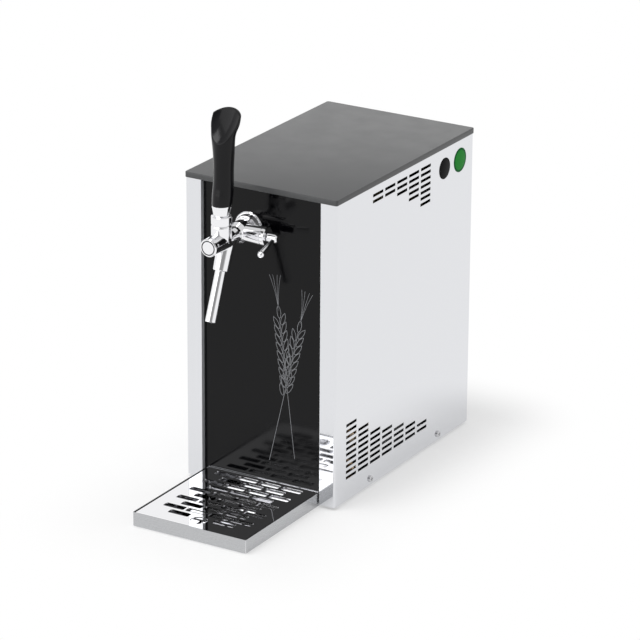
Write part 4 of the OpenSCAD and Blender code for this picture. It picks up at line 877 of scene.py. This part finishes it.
class COOLER_OT_tray(bpy.types.Operator):
    """Finishes of the drip tray and its grille"""
    bl_idname = "cooler.tray"
    bl_label = "Drip tray"

    def execute(self, context):
        paint(["drip_tray"], self.tray_steel(context.scene.cooler_colours.tray))
        # Mirror-polished stainless: flat and clear, so it shows the front above it
        paint(["drip_grille"],
              polished_sheet("mirror_stainless", linear("#f2f2f4"), rough=(0.02, 0.04), wave=0.01))
        return {"FINISHED"}

    @staticmethod
    def tray_steel(colour):
        """Folded stainless: walls ground satin along their length outside, inside and rim bright as rolled.

        The scratches are drawn 0.4 mm wide so that they show. The inside of the walls is tinted lighter, a
        painted highlight, and above the grille darker, a painted shade, so the lip behind the grille stays
        grey.
        """
        # Painted light: the inside tint is lighter than the outer colour, a painted highlight, and the lip
        # tint is darker, a painted shade
        inside, lip_painted_shade, bright = linear("#ececee"), linear("#7d7e80"), 0.06
        material, tree, place = new_finish("satin_stainless")
        low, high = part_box("drip_tray")
        middle, half = (low + high) / 2, (high - low) / 2
        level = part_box("drip_grille")[1].z - middle.z
        stretch = add(tree, "ShaderNodeMapping", {"Scale": (per(30), per(30), per(0.4)), "Vector": place})
        scratch = add(tree, "ShaderNodeTexNoise", {"Scale": 1, "Detail": 4, "Roughness": 0.6,
                                                   "Vector": stretch})
        satin = add(tree, "ShaderNodeMapRange", {"Value": scratch, "From Min": 0.3, "From Max": 0.7,
                                                 "To Min": 0.22, "To Max": 0.36})
        shift = add(tree, "ShaderNodeVectorMath", {0: place, 1: middle}, operation="SUBTRACT")
        size = add(tree, "ShaderNodeVectorMath", {0: shift}, operation="ABSOLUTE")
        past = add(tree, "ShaderNodeVectorMath", {0: size, 1: half}, operation="SUBTRACT")
        split = add(tree, "ShaderNodeSeparateXYZ", {0: past}).outputs
        side = add(tree, "ShaderNodeMath", {0: split["X"], 1: split["Y"]}, operation="MAXIMUM")
        outer = add(tree, "ShaderNodeMapRange", {"Value": side, "From Min": -0.6 * MM, "From Max": -0.3 * MM})
        height = add(tree, "ShaderNodeSeparateXYZ", {0: shift}).outputs["Z"]
        below_rim = add(tree, "ShaderNodeMapRange", {"Value": height, "From Min": half.z - 0.2 * MM,
                                                     "From Max": half.z - 0.1 * MM, "To Min": 1, "To Max": 0})
        wall = add(tree, "ShaderNodeMath", {0: outer, 1: below_rim}, operation="MULTIPLY")
        spread = add(tree, "ShaderNodeMix", {0: wall, 2: bright, 3: satin}, data_type="FLOAT")
        # Painted shade: above the grille the inside of the walls takes the darker lip tint
        lip = add(tree, "ShaderNodeMapRange", {"Value": height, "From Min": level - 0.1 * MM,
                                               "From Max": level + 0.1 * MM})
        inner = add(tree, "ShaderNodeMix", {0: lip, 6: (*inside, 1), 7: (*lip_painted_shade, 1)}, data_type="RGBA")
        tint = add(tree, "ShaderNodeMix", {0: outer, 6: inner.outputs[2], 7: (*colour, 1)}, data_type="RGBA")
        bump = add(tree, "ShaderNodeBump", {"Strength": 0.1, "Distance": 0.05 * MM, "Height": scratch})
        shader = add(tree, "ShaderNodeBsdfPrincipled", {"Base Color": tint.outputs[2], "Metallic": 1,
                                                        "Roughness": spread, "Normal": bump})
        add(tree, "ShaderNodeOutputMaterial", {"Surface": shader})
        return material


# Inside and back

class COOLER_OT_inside(bpy.types.Operator):
    """Finishes of the cooling machinery behind the vents"""
    bl_idname = "cooler.inside"
    bl_label = "Inside"

    def execute(self, context):
        # Tinned copper tube: pale, warm and patchy
        paint(["condenser_coil", "discharge_pipe", "liquid_pipe", "filter_drier", "capillary_pipe",
               "suction_pipe"], tarnished_metal("tinned_copper", "#ddd0bd", "#b89b77", (0.2, 0.38), 14))
        # Rolled aluminium foil: pale grey with a soft shine
        paint(["condenser_fins"], tarnished_metal("fin_aluminium", "#cfd2d5", "#b3b7bb", (0.25, 0.4), 20))
        # Cast aluminium: mid grey and dull
        paint(["cooling_block"], tarnished_metal("cast_aluminium", "#c0c3c6", "#a3a7ab", (0.4, 0.55), 9))
        # Drawn stainless tube: a satin shine with fine draw lines
        paint(["beer_inlet_pipe", "beer_outlet_pipe"],
              brushed_sheet("drawn_stainless_tube", linear("#c8c9cb"), along="yz", rough=(0.15, 0.25)))
        # Stoved enamel: black and shiny, with a slight orange peel
        paint(["compressor", "fan_motor"],
              moulded_plastic("black_enamel", "#141517", rough=(0.22, 0.34), grain_mm=4, lift=0.1))
        paint(["block_insulation"], cell_foam("rigid_foam"))
        # Moulded polypropylene: white and a little waxy
        paint(["fan_blades"], moulded_plastic("white_polypropylene", "#d6d7d6", rough=(0.4, 0.5)))
        # Extruded polyethylene: bluish white and smooth
        paint(["air_hose"], moulded_plastic("polyethylene_hose", "#ccd5d9", rough=(0.3, 0.4), lift=0.04))
        # Moulded polyamide: charcoal and matt
        paint(["terminal_cover", "air_pump", "thermostat"],
              moulded_plastic("black_polyamide", "#232426", rough=(0.45, 0.6)))
        return {"FINISHED"}


class COOLER_OT_back(bpy.types.Operator):
    """Finishes of the fittings and controls on the back"""
    bl_idname = "cooler.back"
    bl_label = "Back fittings"

    def execute(self, context):
        # Moulded acetal: slate grey with a low shine
        paint(["beer_inlet_fitting", "air_outlet_fitting"],
              moulded_plastic("grey_acetal", "#5b6065", rough=(0.3, 0.4), lift=0.06))
        # Moulded nylon: black and matt
        paint(["cable_gland"], moulded_plastic("black_nylon", "#1f2022", rough=(0.45, 0.55)))
        # Moulded ABS: black with a fine grain
        paint(["thermostat_knob", "switch_housing"],
              moulded_plastic("black_abs", "#1b1c1e", rough=(0.35, 0.45), grain_mm=0.8))
        # Moulded polycarbonate: red and glossy
        paint(["switch_rocker"],
              moulded_plastic("red_polycarbonate", "#b3221a", rough=(0.15, 0.22), lift=0.03))
        self.pointer(context)
        return {"FINISHED"}

    @staticmethod
    def pointer(context):
        """A white inlay in the groove of the thermostat knob."""
        low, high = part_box("thermostat_knob")
        x, z, radius = (low.x + high.x) / 2, (low.z + high.z) / 2, (high.z - low.z) / 2
        wide, thick, long, out = 1.3 * MM, 0.5 * MM, 0.6 * radius, 0.64 * radius
        nothing_selected()
        bpy.ops.mesh.primitive_cube_add(size=1, location=(x, high.y - thick, z + out))
        inlay = context.active_object
        inlay.scale = (wide, thick, long)
        bake()
        edit(inlay)
        pick("EDGE", lambda e: min(v.co.y for v in e.verts) > high.y - 0.3 * MM)
        bpy.ops.mesh.bevel(offset=0.15 * MM, segments=2)
        # Filled-in paint: flat white
        finish = moulded_plastic("white_paint", "#e4e4e2", rough=(0.35, 0.45), lift=0.03)
        settle(inlay, "knob_pointer", "knob", finish)


class COOLER_PT_panel(bpy.types.Panel):
    """Lists the cooler's pieces, sizes and colours"""
    bl_label = "Beer tap cooler"
    bl_space_type = "VIEW_3D"
    bl_region_type = "UI"
    bl_category = "Cooler"

    def draw(self, context):
        for operator in OPERATORS:
            self.layout.operator(operator.bl_idname)
        for group in (context.scene.cooler_sizes, context.scene.cooler_colours):
            box = self.layout.box()
            for name in group.__annotations__:
                box.prop(group, name)


OPERATORS = (COOLER_OT_stage, COOLER_OT_casing, COOLER_OT_lid, COOLER_OT_screws, COOLER_OT_discs,
             COOLER_OT_front_print, COOLER_OT_tap, COOLER_OT_handle, COOLER_OT_tray, COOLER_OT_inside,
             COOLER_OT_back)
CLASSES = (CoolerSizes, CoolerColours, *OPERATORS, COOLER_PT_panel)


def register():
    for entry in CLASSES:
        bpy.utils.register_class(entry)
    bpy.types.Scene.cooler_sizes = PointerProperty(type=CoolerSizes)
    bpy.types.Scene.cooler_colours = PointerProperty(type=CoolerColours)


def unregister():
    del bpy.types.Scene.cooler_colours
    del bpy.types.Scene.cooler_sizes
    for entry in reversed(CLASSES):
        bpy.utils.unregister_class(entry)


def main():
    register()
    bpy.ops.cooler.stage()
    bpy.ops.cooler.casing()
    bpy.ops.cooler.lid()
    bpy.ops.cooler.screws()
    bpy.ops.cooler.discs()
    bpy.ops.cooler.front_print()
    bpy.ops.cooler.tap()
    bpy.ops.cooler.handle()
    bpy.ops.cooler.tray()
    bpy.ops.cooler.inside()
    bpy.ops.cooler.back()


if __name__ == "__main__":
    main()
